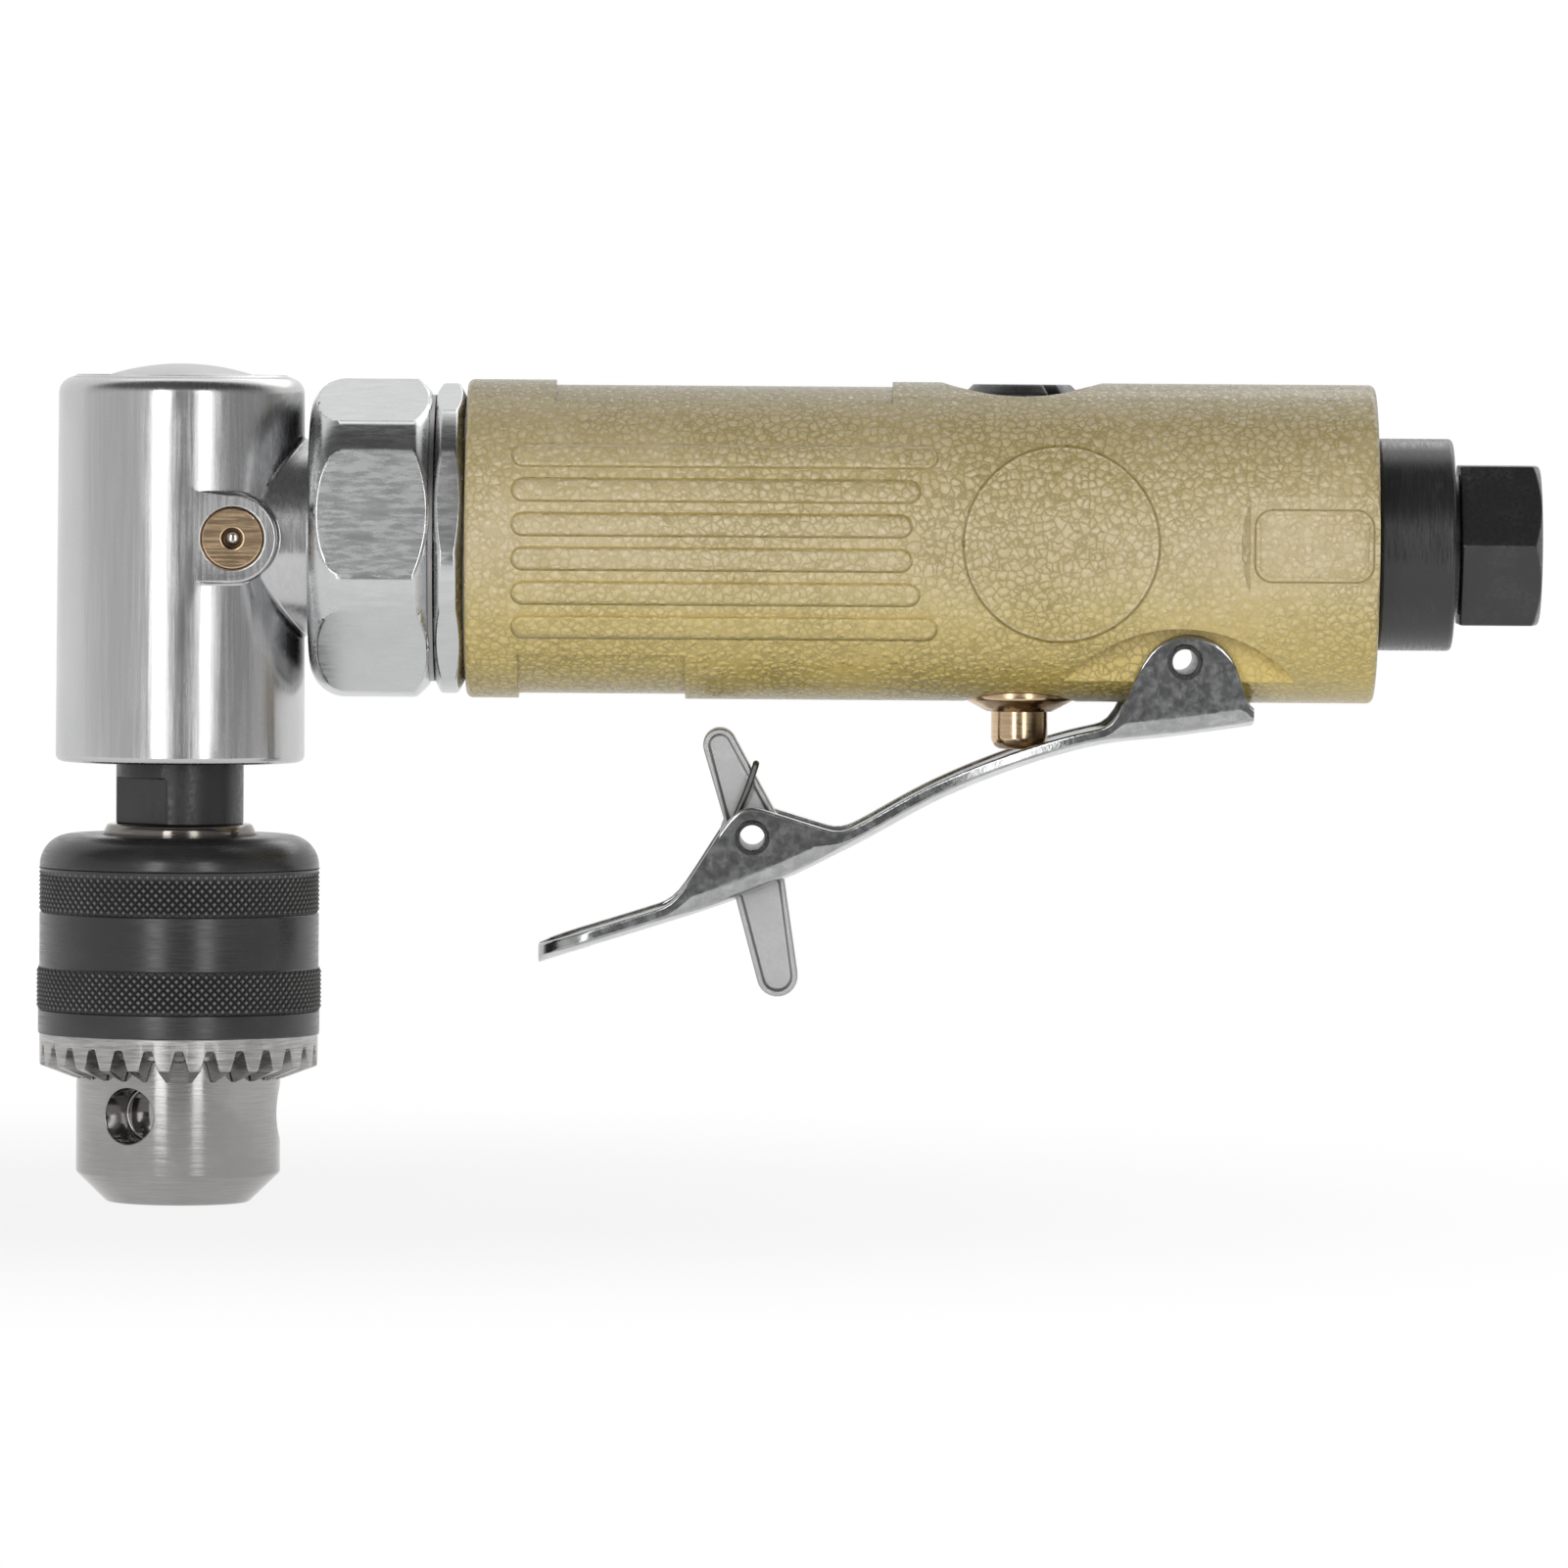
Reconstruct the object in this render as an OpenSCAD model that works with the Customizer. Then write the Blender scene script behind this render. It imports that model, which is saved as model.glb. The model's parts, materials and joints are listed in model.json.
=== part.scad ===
// Right-angle air drill with a keyed chuck, as an assembly of separate pieces, in millimetres.
// The origin is the centre of the chuck's mouth. +Z runs up the chuck into the tool,
// +X runs along the handle to the air inlet.

/* [Chuck] */
// Length of the chuck body
chuck_len = 45.2; // [44:0.2:50]
// Diameter of the nose
nose_d = 24.4; // [23.4:0.2:25.4]
// Diameter of the flat face at the mouth
nose_face_d = 17; // [14:0.5:20]
// Height of the nose's chamfer
nose_chamfer = 3.6; // [2:0.2:5]
// Diameter of the mouth
mouth_d = 10.4; // [10:0.1:11]
// Depth of the mouth
mouth_depth = 27; // [22:0.5:29]
// Diameter of the bare collar on top
collar_d = 18; // [17:0.2:19]
// Height of the bare collar
collar_h = 2.2; // [1.6:0.1:3]
// Diameter of the sleeve over its lower knurl
sleeve_d = 34; // [33:0.2:36]
// Height of the sleeve's lower edge above the mouth
sleeve_low = 14.8; // [14:0.2:16]
// Round on the sleeve's upper shoulder
sleeve_round = 3.7; // [2:0.1:4]
// Depth of the knurls, whose roots are the sleeve's two bands
knurl_depth = 0.3; // [0.2:0.05:0.5]
// Wall of the sleeve
sleeve_wall = 1.9; // [1.6:0.1:2.2]
// Teeth for the chuck key
key_teeth = 28; // [20:1:36]
// Diameter of a key hole
key_hole_d = 6.5; // [5:0.1:7]
// Height of the key holes above the mouth
key_hole_z = 10.8; // [9:0.1:11]
// Depth of a key hole
key_hole_depth = 5.5; // [3:0.1:5.6]
// Angle of the first key hole, from the front towards the head's free side
key_hole_turn = 27; // [0:1:119]
// Diameter of a jaw
jaw_d = 6; // [5:0.1:6.4]
// Length of a jaw
jaw_len = 24; // [20:0.5:25]
// Slope of a jaw against the chuck's axis, in degrees
jaw_tilt = 15; // [14:0.5:16]
// Opening between the jaws at rest
jaw_opening = 10; // [8:0.1:10.2]
// Height of the chuck nut
chuck_nut_h = 4.8; // [4:0.1:6]

/* [Spindle and head] */
// Diameter of the spindle's collar
spindle_d = 15.2; // [14:0.1:15.6]
// Height of the collar that shows under the head
spindle_show = 7.4; // [6:0.1:10]
// Wrench size across the collar's flats
spindle_flats = 12.4; // [11:0.1:13.5]
// Diameter of the thread that holds the chuck
chuck_thread_d = 9.5; // [8:0.1:9.8]
// Length of that thread
chuck_thread_len = 13.6; // [10:0.2:14.4]
// Diameter of the head's barrel
head_d = 29.5; // [28.8:0.1:31]
// Drop of the barrel below the handle's axis
head_drop = 26.9; // [26.4:0.1:32]
// Rise of the barrel above the handle's axis
head_rise = 19; // [18:0.1:22]
// Round on the barrel's upper edge
head_round = 2; // [1:0.1:3]
// Diameter of the pressed cap on the head
cap_d = 18.2; // [16:0.2:20]
// Rise of the cap's dome
cap_dome = 1.5; // [0.5:0.1:3]
// Thickness of the pressed cap's rim
cap_rim = 1.8; // [1.2:0.1:2.4]
// Diameter of the neck between the barrel and the coupling nut
neck_d = 23.4; // [22.4:0.1:24]
// Height of the grease boss
boss_h = 10.6; // [9:0.1:13]
// Reach of the grease fitting's centre from the chuck's axis
grease_x = 6.7; // [5:0.1:7.5]
// Diameter of the grease fitting
grease_d = 7.2; // [6:0.1:8]
// Diameter of the grease ball
grease_ball_d = 3.2; // [2.6:0.1:3.6]
// Width of the lower spindle bearing
spindle_bearing_w = 6; // [5:0.1:7]
// Outer diameter of the lower spindle bearing
spindle_bearing_d = 24; // [23:0.1:24.4]
// Height of the bearing retainer
retainer_h = 3.3; // [2.4:0.1:4]
// Length of the spindle's top bush
top_bush_h = 8; // [6:0.2:9]

/* [Coupling] */
// How far the wrench size of the nut and the lock ring is under the nut's diameter
coupling_corner = 3; // [2:0.1:3.4]
// Length of the coupling nut
coupling_len = 14.4; // [12:0.1:18]
// Round on the coupling nut's front corner
coupling_round = 4.3; // [2:0.1:5]
// Thickness of the coupling nut's front lip
coupling_lip = 4.1; // [3:0.1:5]
// Space between the barrel and the coupling nut
head_gap = 0.75; // [0.4:0.05:2]
// Thread that shows between the nut and the lock ring
thread_show = 0.5; // [0.3:0.1:2]
// How far the lock ring's diameter is under the coupling nut's
lock_step = 1; // [0:0.1:1.6]
// Thickness of the lock ring
lock_t = 3.6; // [2.6:0.1:5]
// Thinnest wall of the coupling nut over the gear case's thread
nut_wall = 1.6; // [1.3:0.05:1.7]
// Depth of the gear case's thread in the handle
case_depth = 7; // [6.6:0.1:8]

/* [Gears] */
// Wall of the gear case round the ring gear
case_wall = 1.565; // [1.4:0.005:1.8]
// Thickness of the ring gear behind its teeth
ring_wall = 1; // [0.8:0.05:1.2]
// Width of the planet gears
planet_w = 6; // [5:0.1:6.4]
// Diameter of a planet pin
planet_pin_d = 3; // [2.4:0.1:3.4]
// Module of the bevel gears
bevel_module = 1; // [0.95:0.01:1.02]
// Face width of the bevel gears along the cone
bevel_face = 4; // [3:0.1:4.4]
// Play between meshing teeth
tooth_play = 0.2; // [0.15:0.01:0.3]

/* [Motor] */
// Wall of the handle round the motor cylinder
motor_wall = 4; // [3.8:0.1:4.4]
// Length of the motor cylinder
motor_len = 34; // [28:0.5:36]
// Wall of the motor cylinder, at the middle of its height
cylinder_wall = 2.8; // [2.5:0.1:3]
// Offset of the bore from the rotor's axis
motor_offset = 1.5; // [1.2:0.05:1.6]
// Smallest gap between the rotor and the cylinder
rotor_gap = 0.2; // [0.15:0.05:0.6]
// Thickness of an end plate
end_plate_t = 5.8; // [5.6:0.1:7]
// Thickness of a vane
vane_t = 1.8; // [1.2:0.1:2.4]
// Diameter of the rotor's shaft
rotor_shaft_d = 6; // [5.4:0.1:6.4]

/* [Handle] */
// Diameter of the handle
body_d = 38; // [37:0.1:40]
// Length of the handle
body_len = 108.1; // [106:0.1:116]
// Round on the handle's ends
body_round = 0.8; // [0.3:0.1:1.2]
// Width of a grip rib
rib_w = 2.2; // [1.4:0.1:3]
// Spacing of the grip ribs
rib_pitch = 4.06; // [3.6:0.02:4.6]
// Height of a grip rib above the handle
rib_h = 0.45; // [0.2:0.05:0.8]
// Start of the ribs behind the handle's front
rib_start = 5.8; // [4:0.1:10]
// Diameter of the round outline on the handle's side
disc_d = 23.6; // [20:0.2:26]
// Distance of that outline behind the handle's front
disc_from_front = 70.5; // [68:0.5:74]
// Depth of the label recesses
label_depth = 0.6; // [0.3:0.05:0.9]
// Length of the flat side panel at the handle's rear
panel_len = 15.3; // [12:0.1:20]
// Height of that side panel
panel_h = 11.6; // [9:0.1:14]

/* [Valve] */
// Distance of the valve behind the handle's front
valve_from_front = 66; // [65:0.2:72]
// Diameter of the throttle button
button_d = 6.74; // [6:0.02:7.2]
// Reach of the button's tip below the handle
button_out = 5.7; // [5:0.1:6.2]
// Diameter of the valve bushing's flange
bushing_d = 13.1; // [12:0.1:13.4]
// Diameter of the valve chamber
chamber_d = 11.2; // [10.8:0.1:11.8]
// Diameter of the regulator screw's head
regulator_d = 14; // [13:0.1:15]
// Wire of the throttle spring
throttle_wire = 0.8; // [0.6:0.05:0.9]

/* [Lever] */
// Distance of the lever's pivot behind the handle's front
pivot_from_front = 85.4; // [84:0.2:90]
// Height of the lever's pivot above the handle's lowest line
pivot_rise = 5.1; // [4.8:0.1:5.8]
// Distance between the flats that the lever's ears straddle
pocket_w = 19.6; // [18:0.1:21]
// Thickness of the lever's sheet
lever_t = 1.3; // [1:0.05:1.5]
// Width of the lever under the fingers
lever_w = 18; // [17:0.2:20]
// Crown across the lever's width
lever_crown = 0.9; // [0.4:0.05:1.2]
// Outer diameter of the hollow pins
pin_d = 4.1; // [3.4:0.1:4.6]
// Bore of the hollow pins
pin_bore = 3; // [2:0.1:3.2]

/* [Safety catch] */
// Thickness of the catch
catch_t = 7; // [6:0.1:7.4]
// Reach of the catch's upper lobe from its pin
catch_up = 11.9; // [11:0.1:12.2]
// Reach of the catch's lower arm from its pin
catch_down = 17.4; // [15:0.1:18.4]
// Height of the catch's rims above its sunken faces
catch_rim = 0.6; // [0.3:0.05:1]
// Wire of the catch spring
catch_wire = 0.8; // [0.6:0.05:0.9]

/* [Air inlet] */
// Diameter of the exhaust sleeve
exhaust_d = 25.3; // [24.6:0.1:27]
// Length of the exhaust sleeve that shows
exhaust_len = 9.1; // [7:0.1:14]
// Space between the sleeve and the inlet's hexagon
inlet_gap = 0.8; // [0.4:0.1:3]
// Wrench size of the inlet
inlet_af = 19; // [18.4:0.1:22]
// Length of the inlet's hexagon
inlet_hex_len = 9.6; // [8:0.1:14]
// Diameter of the inlet's threaded bore
inlet_bore = 11.12; // [10:0.02:12]
// Depth of the inlet's threaded bore
inlet_depth = 14; // [10:0.2:15]
// Diameter of the inlet's neck
inlet_neck_d = 16.6; // [15.8:0.1:17]

/* [Hidden] */
$fn = 64;

// Clearances
play = 0.05;
running = 0.15;
clear = 0.3;
past = 1;

// Heights
axis_z = chuck_len + spindle_show + head_drop;
head_bottom = axis_z - head_drop;
head_top = axis_z + head_rise;

// Chuck
nose_r = nose_d / 2;
jaw_r = jaw_d / 2;
jaw_foot = 0.5;
mouth_land = (mouth_d / 2 - (jaw_r + 2 * play) / cos(jaw_tilt) - jaw_foot) / tan(jaw_tilt) - 0.2;
jaw_tip_z = (jaw_opening / 2 - jaw_foot) / tan(jaw_tilt);
sleeve_top = chuck_len - collar_h + 0.9;
sleeve_bevel_h = 1.6;
sleeve_r = sleeve_d / 2;
knurl_low = [sleeve_low + 8.2, sleeve_low + 13.3];
knurl_high = [sleeve_low + 19.8, sleeve_top - sleeve_round - 0.3];
key_band_top = sleeve_low + 5.4;
chuck_nut_z = sleeve_low + 2.8;
chuck_nut_r = sleeve_r - sleeve_wall - 0.8;
sleeve_cavity_r = sleeve_r - sleeve_wall - 0.3;
sleeve_roof = 2.2;

// Head
head_r = head_d / 2;
bearing_z = head_bottom + 0.2 + retainer_h;
gear_seat_z = bearing_z + spindle_bearing_w;
bearing_bore = 12;
retainer_bore = spindle_d + 1.4;
gear_seat_d = 9;
journal_d = 8;
gear_teeth = 20;
pinion_teeth = 12;
bevel_add = 0.8 * bevel_module;
bevel_ded = 1.05 * bevel_module;
gear_pitch_r = gear_teeth * bevel_module / 2;
pinion_pitch_r = pinion_teeth * bevel_module / 2;
gear_crown_r = gear_pitch_r + 0.6;
gear_hub_d = 15.6;
cavity_r = gear_crown_r + 0.6;
pinion_tip_r = pinion_pitch_r + bevel_add * 1.25;
cavity_top = axis_z + pinion_tip_r + 0.8;
pinion_back = gear_pitch_r + 0.6;
bevel_cone = norm([gear_pitch_r, pinion_pitch_r]);
bevel_inner = (bevel_cone - bevel_face) / bevel_cone;
top_bush_d = 13;
boss_face = head_r - 0.15;
grease_len = 4.6;
grease_lip = 0.8;

// Along the handle
nut_x = head_r + head_gap;
flange_x = nut_x + coupling_lip;
flange_t = 3.4;
case_x = flange_x + flange_t;
lock_x = nut_x + coupling_len + thread_show;
body_x = lock_x + lock_t + 0.2;
case_end = body_x + case_depth;
body_r = body_d / 2;
coupling_d = body_d;
coupling_af = coupling_d - coupling_corner;
lock_d = coupling_d - lock_step;
case_d = coupling_af - 2 * nut_wall;
body_end = body_x + body_len;
neck_r = neck_d / 2;
case_r = case_d / 2;
flange_r = case_r - clear;
pinion_bearing_x = pinion_back + 3.4;
pinion_bearing_w = 6;
pinion_bearing_d = 19;
pinion_shaft_d = 8;
pinion_shaft_end = case_x + 4;

// Planetary set
sun_teeth = 12;
planet_teeth = 12;
ring_teeth = sun_teeth + 2 * planet_teeth;
add_share = 0.8;
ded_share = 1.05;
planet_module = (case_d - 2 * case_wall - 2 * ring_wall) / (ring_teeth + 2 * ded_share);
planet_add = add_share * planet_module;
planet_ded = ded_share * planet_module;
planet_orbit = (sun_teeth + planet_teeth) * planet_module / 2;
pressure = 25;
carrier_hub_d = 12;
carrier_bearing_x = case_x + 0.4;
carrier_bearing_w = 5;
carrier_bearing_d = 20;
carrier_x = carrier_bearing_x + carrier_bearing_w + 0.4;
carrier_t = 2.5;
planet_x = carrier_x + carrier_t + 0.5;
ring_x = planet_x - 0.3;
ring_w = planet_w + 0.7;
ring_outer_r = ring_teeth * planet_module / 2 + planet_ded + ring_wall;

// Motor
front_plate_x = case_end;
cylinder_x = front_plate_x + end_plate_t;
rear_plate_x = cylinder_x + motor_len;
motor_end = rear_plate_x + end_plate_t;
motor_d = body_d - 2 * motor_wall;
motor_r = motor_d / 2;
motor_bore = motor_d - 2 * cylinder_wall;
rotor_d = motor_bore - 2 * motor_offset - 2 * rotor_gap;
rotor_r = rotor_d / 2;
rotor_bearing_w = 5;
rotor_bearing_d = 16;
sun_bore = 1.5 * (sun_teeth * planet_module / 2 - planet_ded);
vanes = 5;
dowel_d = 2;
dowel_r = motor_r - 2.1;

// Valve
valve_x = body_x + valve_from_front;
spot_drop = body_r - 1.2;
spot_d = bushing_d + 0.5;
button_reach = body_r + button_out;
bushing_top = axis_z - body_r + 10;
bushing_shank_d = 10;
button_top = bushing_top + 0.2;
valve_lift = 3;
valve_t = 2.4;
valve_d = 9;
regulator_bottom = axis_z + body_r - 12.5;
regulator_seat = axis_z + body_r - 4.6;
regulator_top = axis_z + body_r - 0.2;
sink_d = regulator_d + 5.2;

// Lever, in the plane of the handle's axis and measured from the pivot
pivot = [body_x + pivot_from_front, axis_z - body_r + pivot_rise];
catch_at = [-51.2, -21.3];
catch_pin_at = pivot + catch_at;
lever_path = [
    [8.2, -7.8], [-0.8, -9.1], [-10.2, -10.3], [-19.5, -13], [-28.9, -16.9], [-38.2, -22],
    [-47.6, -26.7], [-54.6, -29.6], [-64, -32.7], [-73.3, -35.6], [-76.6, -36.7]
];
path_steps = 3;
ear_gap = 0.15;
ear_in = pocket_w / 2 + ear_gap;
ear_out = ear_in + 1.5;
catch_ear_in = lever_w / 2 - 1.5;
catch_ear_out = lever_w / 2;
lever_ear_r = 6.4;
catch_ear_r = 3.6;
catch_window = catch_t + 1;

// Rear end
exhaust_r = exhaust_d / 2;
exhaust_wall = 1.7;
exhaust_end = body_end + 0.2 + exhaust_len;
spigot_len = 3;
rear_seat = body_end - spigot_len;
hex_x = exhaust_end + inlet_gap;
inlet_end = hex_x + inlet_hex_len;
inlet_neck_r = inlet_neck_d / 2;
inlet_thread_d = 14.8;
inlet_stem = 10;
air_passage_d = 8;
exhaust_duct_d = 2.2;
exhaust_duct_y = (inlet_neck_r + exhaust_r - exhaust_wall) / 2;

// Placing helpers

// Puts local +Z along the handle, starting at x on its axis
module along(x) translate([x, 0, axis_z]) rotate([0, 90, 0]) children();

// A round bar or a ring along the handle
module bar(x0, x1, d) along(x0) cylinder(h = x1 - x0, d = d);
module ring(x0, x1, outer, inner) {
    difference() {
        bar(x0, x1, outer);
        bar(x0 - past, x1 + past, inner);
    }
}

// A round post up the chuck's axis
module post(z0, z1, d) translate([0, 0, z0]) cylinder(h = z1 - z0, d = d);

// Extrudes an outline drawn in X and Z between two depths
module slab(y0, y1) translate([0, y1, 0]) rotate([90, 0, 0]) linear_extrude(y1 - y0) children();

// A bar with rounded rims, from z = 0
module round_bar(r, h, e) {
    rotate_extrude() {
        square([r - e, h]);
        translate([0, e]) square([r, h - 2 * e]);
        translate([r - e, e]) circle(e);
        translate([r - e, h - e]) circle(e);
    }
}

// A slot outline between two end points on a level line
module slot_outline(x0, x1, w) {
    translate([x0 + w / 2, -w / 2]) square([x1 - x0 - w, w]);
    for (x = [x0 + w / 2, x1 - w / 2]) translate([x, 0]) circle(d = w);
}

// Point where a line from p touches a circle, on the left or right as seen from p
function touch(p, c, r, side) =
    let (d = c - p, l = norm(d), a = atan2(d[1], d[0]) + side * asin(r / l), t = sqrt(l * l - r * r))
    p + t * [cos(a), sin(a)];

// An ear between two base points, rounded about a centre
module ear_outline(base_a, base_b, c, r, foot) {
    circle_c = c;
    polygon([
        base_a, touch(base_a, circle_c, r, 1), circle_c, touch(base_b, circle_c, r, -1), base_b,
        base_b + foot, base_a + foot
    ]);
    translate(circle_c) circle(r);
}

// Ball bearing rings: the middle of the ball race lies halfway between bore and rim
function race_r(bore, rim) = (bore + rim) / 4;
function ball_r(bore, rim) = (rim - bore) / 4 * 0.55;
module bearing_outer(bore, rim, w) {
    rotate_extrude() difference() {
        translate([race_r(bore, rim) + ball_r(bore, rim) * 0.55, 0])
            square([rim / 2 - race_r(bore, rim) - ball_r(bore, rim) * 0.55, w]);
        translate([race_r(bore, rim), w / 2]) circle(ball_r(bore, rim) + play);
    }
}
module bearing_inner(bore, rim, w, balls) {
    rotate_extrude() difference() {
        translate([bore / 2, 0]) square([race_r(bore, rim) - ball_r(bore, rim) * 0.55 - bore / 2, w]);
        translate([race_r(bore, rim), w / 2]) circle(ball_r(bore, rim) + play);
    }
    for (i = [0:balls - 1])
        rotate(i * 360 / balls) translate([race_r(bore, rim), 0, w / 2]) sphere(ball_r(bore, rim));
}

// Involute teeth
function involute(a) = tan(a) * 180 / PI - a;
function flank(r, pitch_r, half) =
    half + involute(pressure) - involute(acos(min(1, pitch_r * cos(pressure) / r)));
function polar(r, a) = r * [cos(a), sin(a)];
flank_steps = 4;

module gear_outline(teeth, mod, add, ded, thin) {
    pitch_r = teeth * mod / 2;
    half = (PI * mod / 2 - thin) / (2 * pitch_r) * 180 / PI;
    radii = [for (i = [0:flank_steps]) pitch_r - ded + (add + ded) * i / flank_steps];
    polygon([
        for (k = [0:teeth - 1]) each concat(
            [for (i = [0:flank_steps]) polar(radii[i], k * 360 / teeth - flank(radii[i], pitch_r, half))],
            [for (i = [flank_steps:-1:0]) polar(radii[i], k * 360 / teeth + flank(radii[i], pitch_r, half))]
        )
    ]);
}

// A bevel gear's outline, square to its axis, at the given distance from the cones' common point
module bevel_outline(teeth, mate, distance) {
    pitch_r = teeth * bevel_module / 2;
    cone_angle = atan(teeth / mate);
    reach = pitch_r / tan(cone_angle);
    round_r = pitch_r / cos(cone_angle);
    half = (PI * bevel_module / 2 - tooth_play / 2) / (2 * round_r) * 180 / PI;
    heights = [for (i = [0:flank_steps]) -bevel_ded + (bevel_add + bevel_ded) * i / flank_steps];
    radii = [for (h = heights) distance * tan(cone_angle + atan(h / bevel_cone))];
    turns = [for (h = heights) flank(round_r + h, round_r, half) / cos(cone_angle)];
    polygon([
        for (k = [0:teeth - 1]) each concat(
            [for (i = [0:flank_steps]) polar(radii[i], k * 360 / teeth - turns[i])],
            [for (i = [flank_steps:-1:0]) polar(radii[i], k * 360 / teeth + turns[i])]
        )
    ]);
}

// Wire: a tube along points, with a frame that turns as little as it can
tube_sides = 6;
function unit(v) = v / norm(v);
function heading(p, i) = unit(p[min(i + 1, len(p) - 1)] - p[max(i - 1, 0)]);
function square_to(v, t) = unit(v - (v * t) * t);
function frames(p, start, i = 0) =
    i == len(p) ? [] : let (n = square_to(start, heading(p, i))) concat([n], frames(p, n, i + 1));
module tube(p, r, start) {
    n = frames(p, start);
    rings = len(p);
    points = [
        for (i = [0:rings - 1], k = [0:tube_sides - 1])
            let (a = k * 360 / tube_sides, b = cross(heading(p, i), n[i])) p[i] + r * (cos(a) * n[i] + sin(a) * b)
    ];
    function at(i, k) = i * tube_sides + k % tube_sides;
    faces = concat(
        [for (k = [1:tube_sides - 2]) [0, k, k + 1]],
        [for (i = [0:rings - 2], k = [0:tube_sides - 1]) each [
            [at(i, k), at(i + 1, k), at(i, k + 1)], [at(i + 1, k), at(i + 1, k + 1), at(i, k + 1)]
        ]],
        [for (k = [1:tube_sides - 2]) [at(rings - 1, 0), at(rings - 1, k + 1), at(rings - 1, k)]]
    );
    polyhedron(points, faces);
}

// Least space between a wire's own turns, taken over points at least half a turn apart
function own_gap(p, r, skip) = min([
    for (i = [0:len(p) - 1], j = [0:len(p) - 1]) if (j >= i + skip) norm(p[i] - p[j]) - 2 * r
]);

// Chuck

function jaw_turn(i) = 270 - key_hole_turn + 60 + i * 120;

// A round bar on the line that a jaw slides along
module jaw_rod(d, z0, length) {
    translate([jaw_foot + z0 * tan(jaw_tilt), 0, z0]) rotate([0, jaw_tilt, 0]) cylinder(h = length, d = d);
}

module chuck_body() {
    shoulder = sleeve_top - sleeve_roof - clear;
    color("#b9b9ba") difference() {
        rotate_extrude() polygon([
            [0, 0], [nose_face_d / 2, 0], [nose_r, nose_chamfer], [nose_r, shoulder],
            [collar_d / 2, shoulder], [collar_d / 2, chuck_len - 0.8], [collar_d / 2 - 0.4, chuck_len],
            [0, chuck_len]
        ]);
        post(-past, mouth_land + past, mouth_d);
        post(mouth_land, mouth_depth, mouth_d + 0.8);
        post(chuck_len - chuck_thread_len - 0.4, chuck_len + past, chuck_thread_d + 2 * play);
        post(mouth_depth - past, chuck_len, 5.2);
        for (i = [0:2]) rotate(jaw_turn(i)) jaw_rod(jaw_d + 4 * play, -jaw_len, jaw_len * 3);
        for (i = [0:2]) rotate(270 - key_hole_turn + i * 120) translate([nose_r - key_hole_depth, 0, key_hole_z])
            rotate([0, 90, 0]) cylinder(h = key_hole_depth + past, d = key_hole_d);
        translate([0, 0, chuck_nut_z - running]) difference() {
            cylinder(h = chuck_nut_h + 2 * running, r = nose_r + past);
            translate([0, 0, -past])
                cylinder(h = chuck_nut_h + 2 * running + 2 * past, r = nut_bore(chuck_nut_z) - clear);
        }
    }
}

// Radius that clears the jaws' backs at a height
function nut_bore(z) = jaw_foot + z * tan(jaw_tilt) + jaw_r / cos(jaw_tilt) + clear;

module chuck_nut() {
    color("#8d8d90") rotate_extrude() polygon([
        [nut_bore(chuck_nut_z), chuck_nut_z], [chuck_nut_r, chuck_nut_z],
        [chuck_nut_r, chuck_nut_z + chuck_nut_h],
        [nut_bore(chuck_nut_z + chuck_nut_h), chuck_nut_z + chuck_nut_h]
    ]);
}

module chuck_jaw(i) {
    color("#9a9a9c") rotate(jaw_turn(i)) intersection() {
        jaw_rod(jaw_d, jaw_tip_z, jaw_len);
        translate([jaw_opening / 2, 0, 0])
            linear_extrude(chuck_len + past) polygon([[0, 0], [sleeve_r, -sleeve_r * tan(60)], [sleeve_r, sleeve_r * tan(60)]]);
    }
}

module chuck_sleeve() {
    band_r = sleeve_r - 0.33;
    slope = atan(sleeve_bevel_h / (band_r - nose_r));
    tooth_pitch = 2 * PI * band_r / key_teeth;
    tooth_depth = 2.3;
    color("#2f2f31") difference() {
        union() {
            rotate_extrude() {
                polygon([
                    [0, sleeve_low], [nose_r + running, sleeve_low], [band_r - 0.05, sleeve_low + sleeve_bevel_h],
                    [band_r - 0.05, key_band_top], [band_r + 0.13, key_band_top], [band_r + 0.13, knurl_low[0]],
                    [sleeve_r - knurl_depth, knurl_low[0]], [sleeve_r - knurl_depth, knurl_low[1]], [band_r, knurl_low[1]],
                    [band_r, knurl_high[0]], [band_r + 0.06 - knurl_depth, knurl_high[0]],
                    [band_r + 0.06 - knurl_depth, knurl_high[1]],
                    [band_r, knurl_high[1]], [band_r, sleeve_top - sleeve_round],
                    [band_r - sleeve_round, sleeve_top], [0, sleeve_top]
                ]);
                translate([band_r - sleeve_round, sleeve_top - sleeve_round]) circle(sleeve_round);
            }
        }
        post(sleeve_low - past, chuck_nut_z + past, nose_d + 2 * running);
        post(chuck_nut_z, chuck_nut_z + chuck_nut_h + past, 2 * (chuck_nut_r + play / 2));
        post(chuck_nut_z + chuck_nut_h, sleeve_top - sleeve_roof, 2 * sleeve_cavity_r);
        post(sleeve_top - sleeve_roof - past, sleeve_top + past, collar_d + 2 * clear);
        for (i = [0:key_teeth - 1]) rotate(30 - key_hole_turn + i * 360 / key_teeth) translate([nose_r - 2, 0, sleeve_low])
            translate([2, 0, 0]) rotate([0, -slope, 0]) translate([-2, 0, 0]) rotate([90, 0, 90])
            linear_extrude(sleeve_r - nose_r + 4)
            polygon([
                [-tooth_pitch * 0.4, -past], [-tooth_pitch * 0.12, tooth_depth],
                [tooth_pitch * 0.12, tooth_depth], [tooth_pitch * 0.4, -past]
            ]);
    }
}

// Spindle and head

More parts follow.
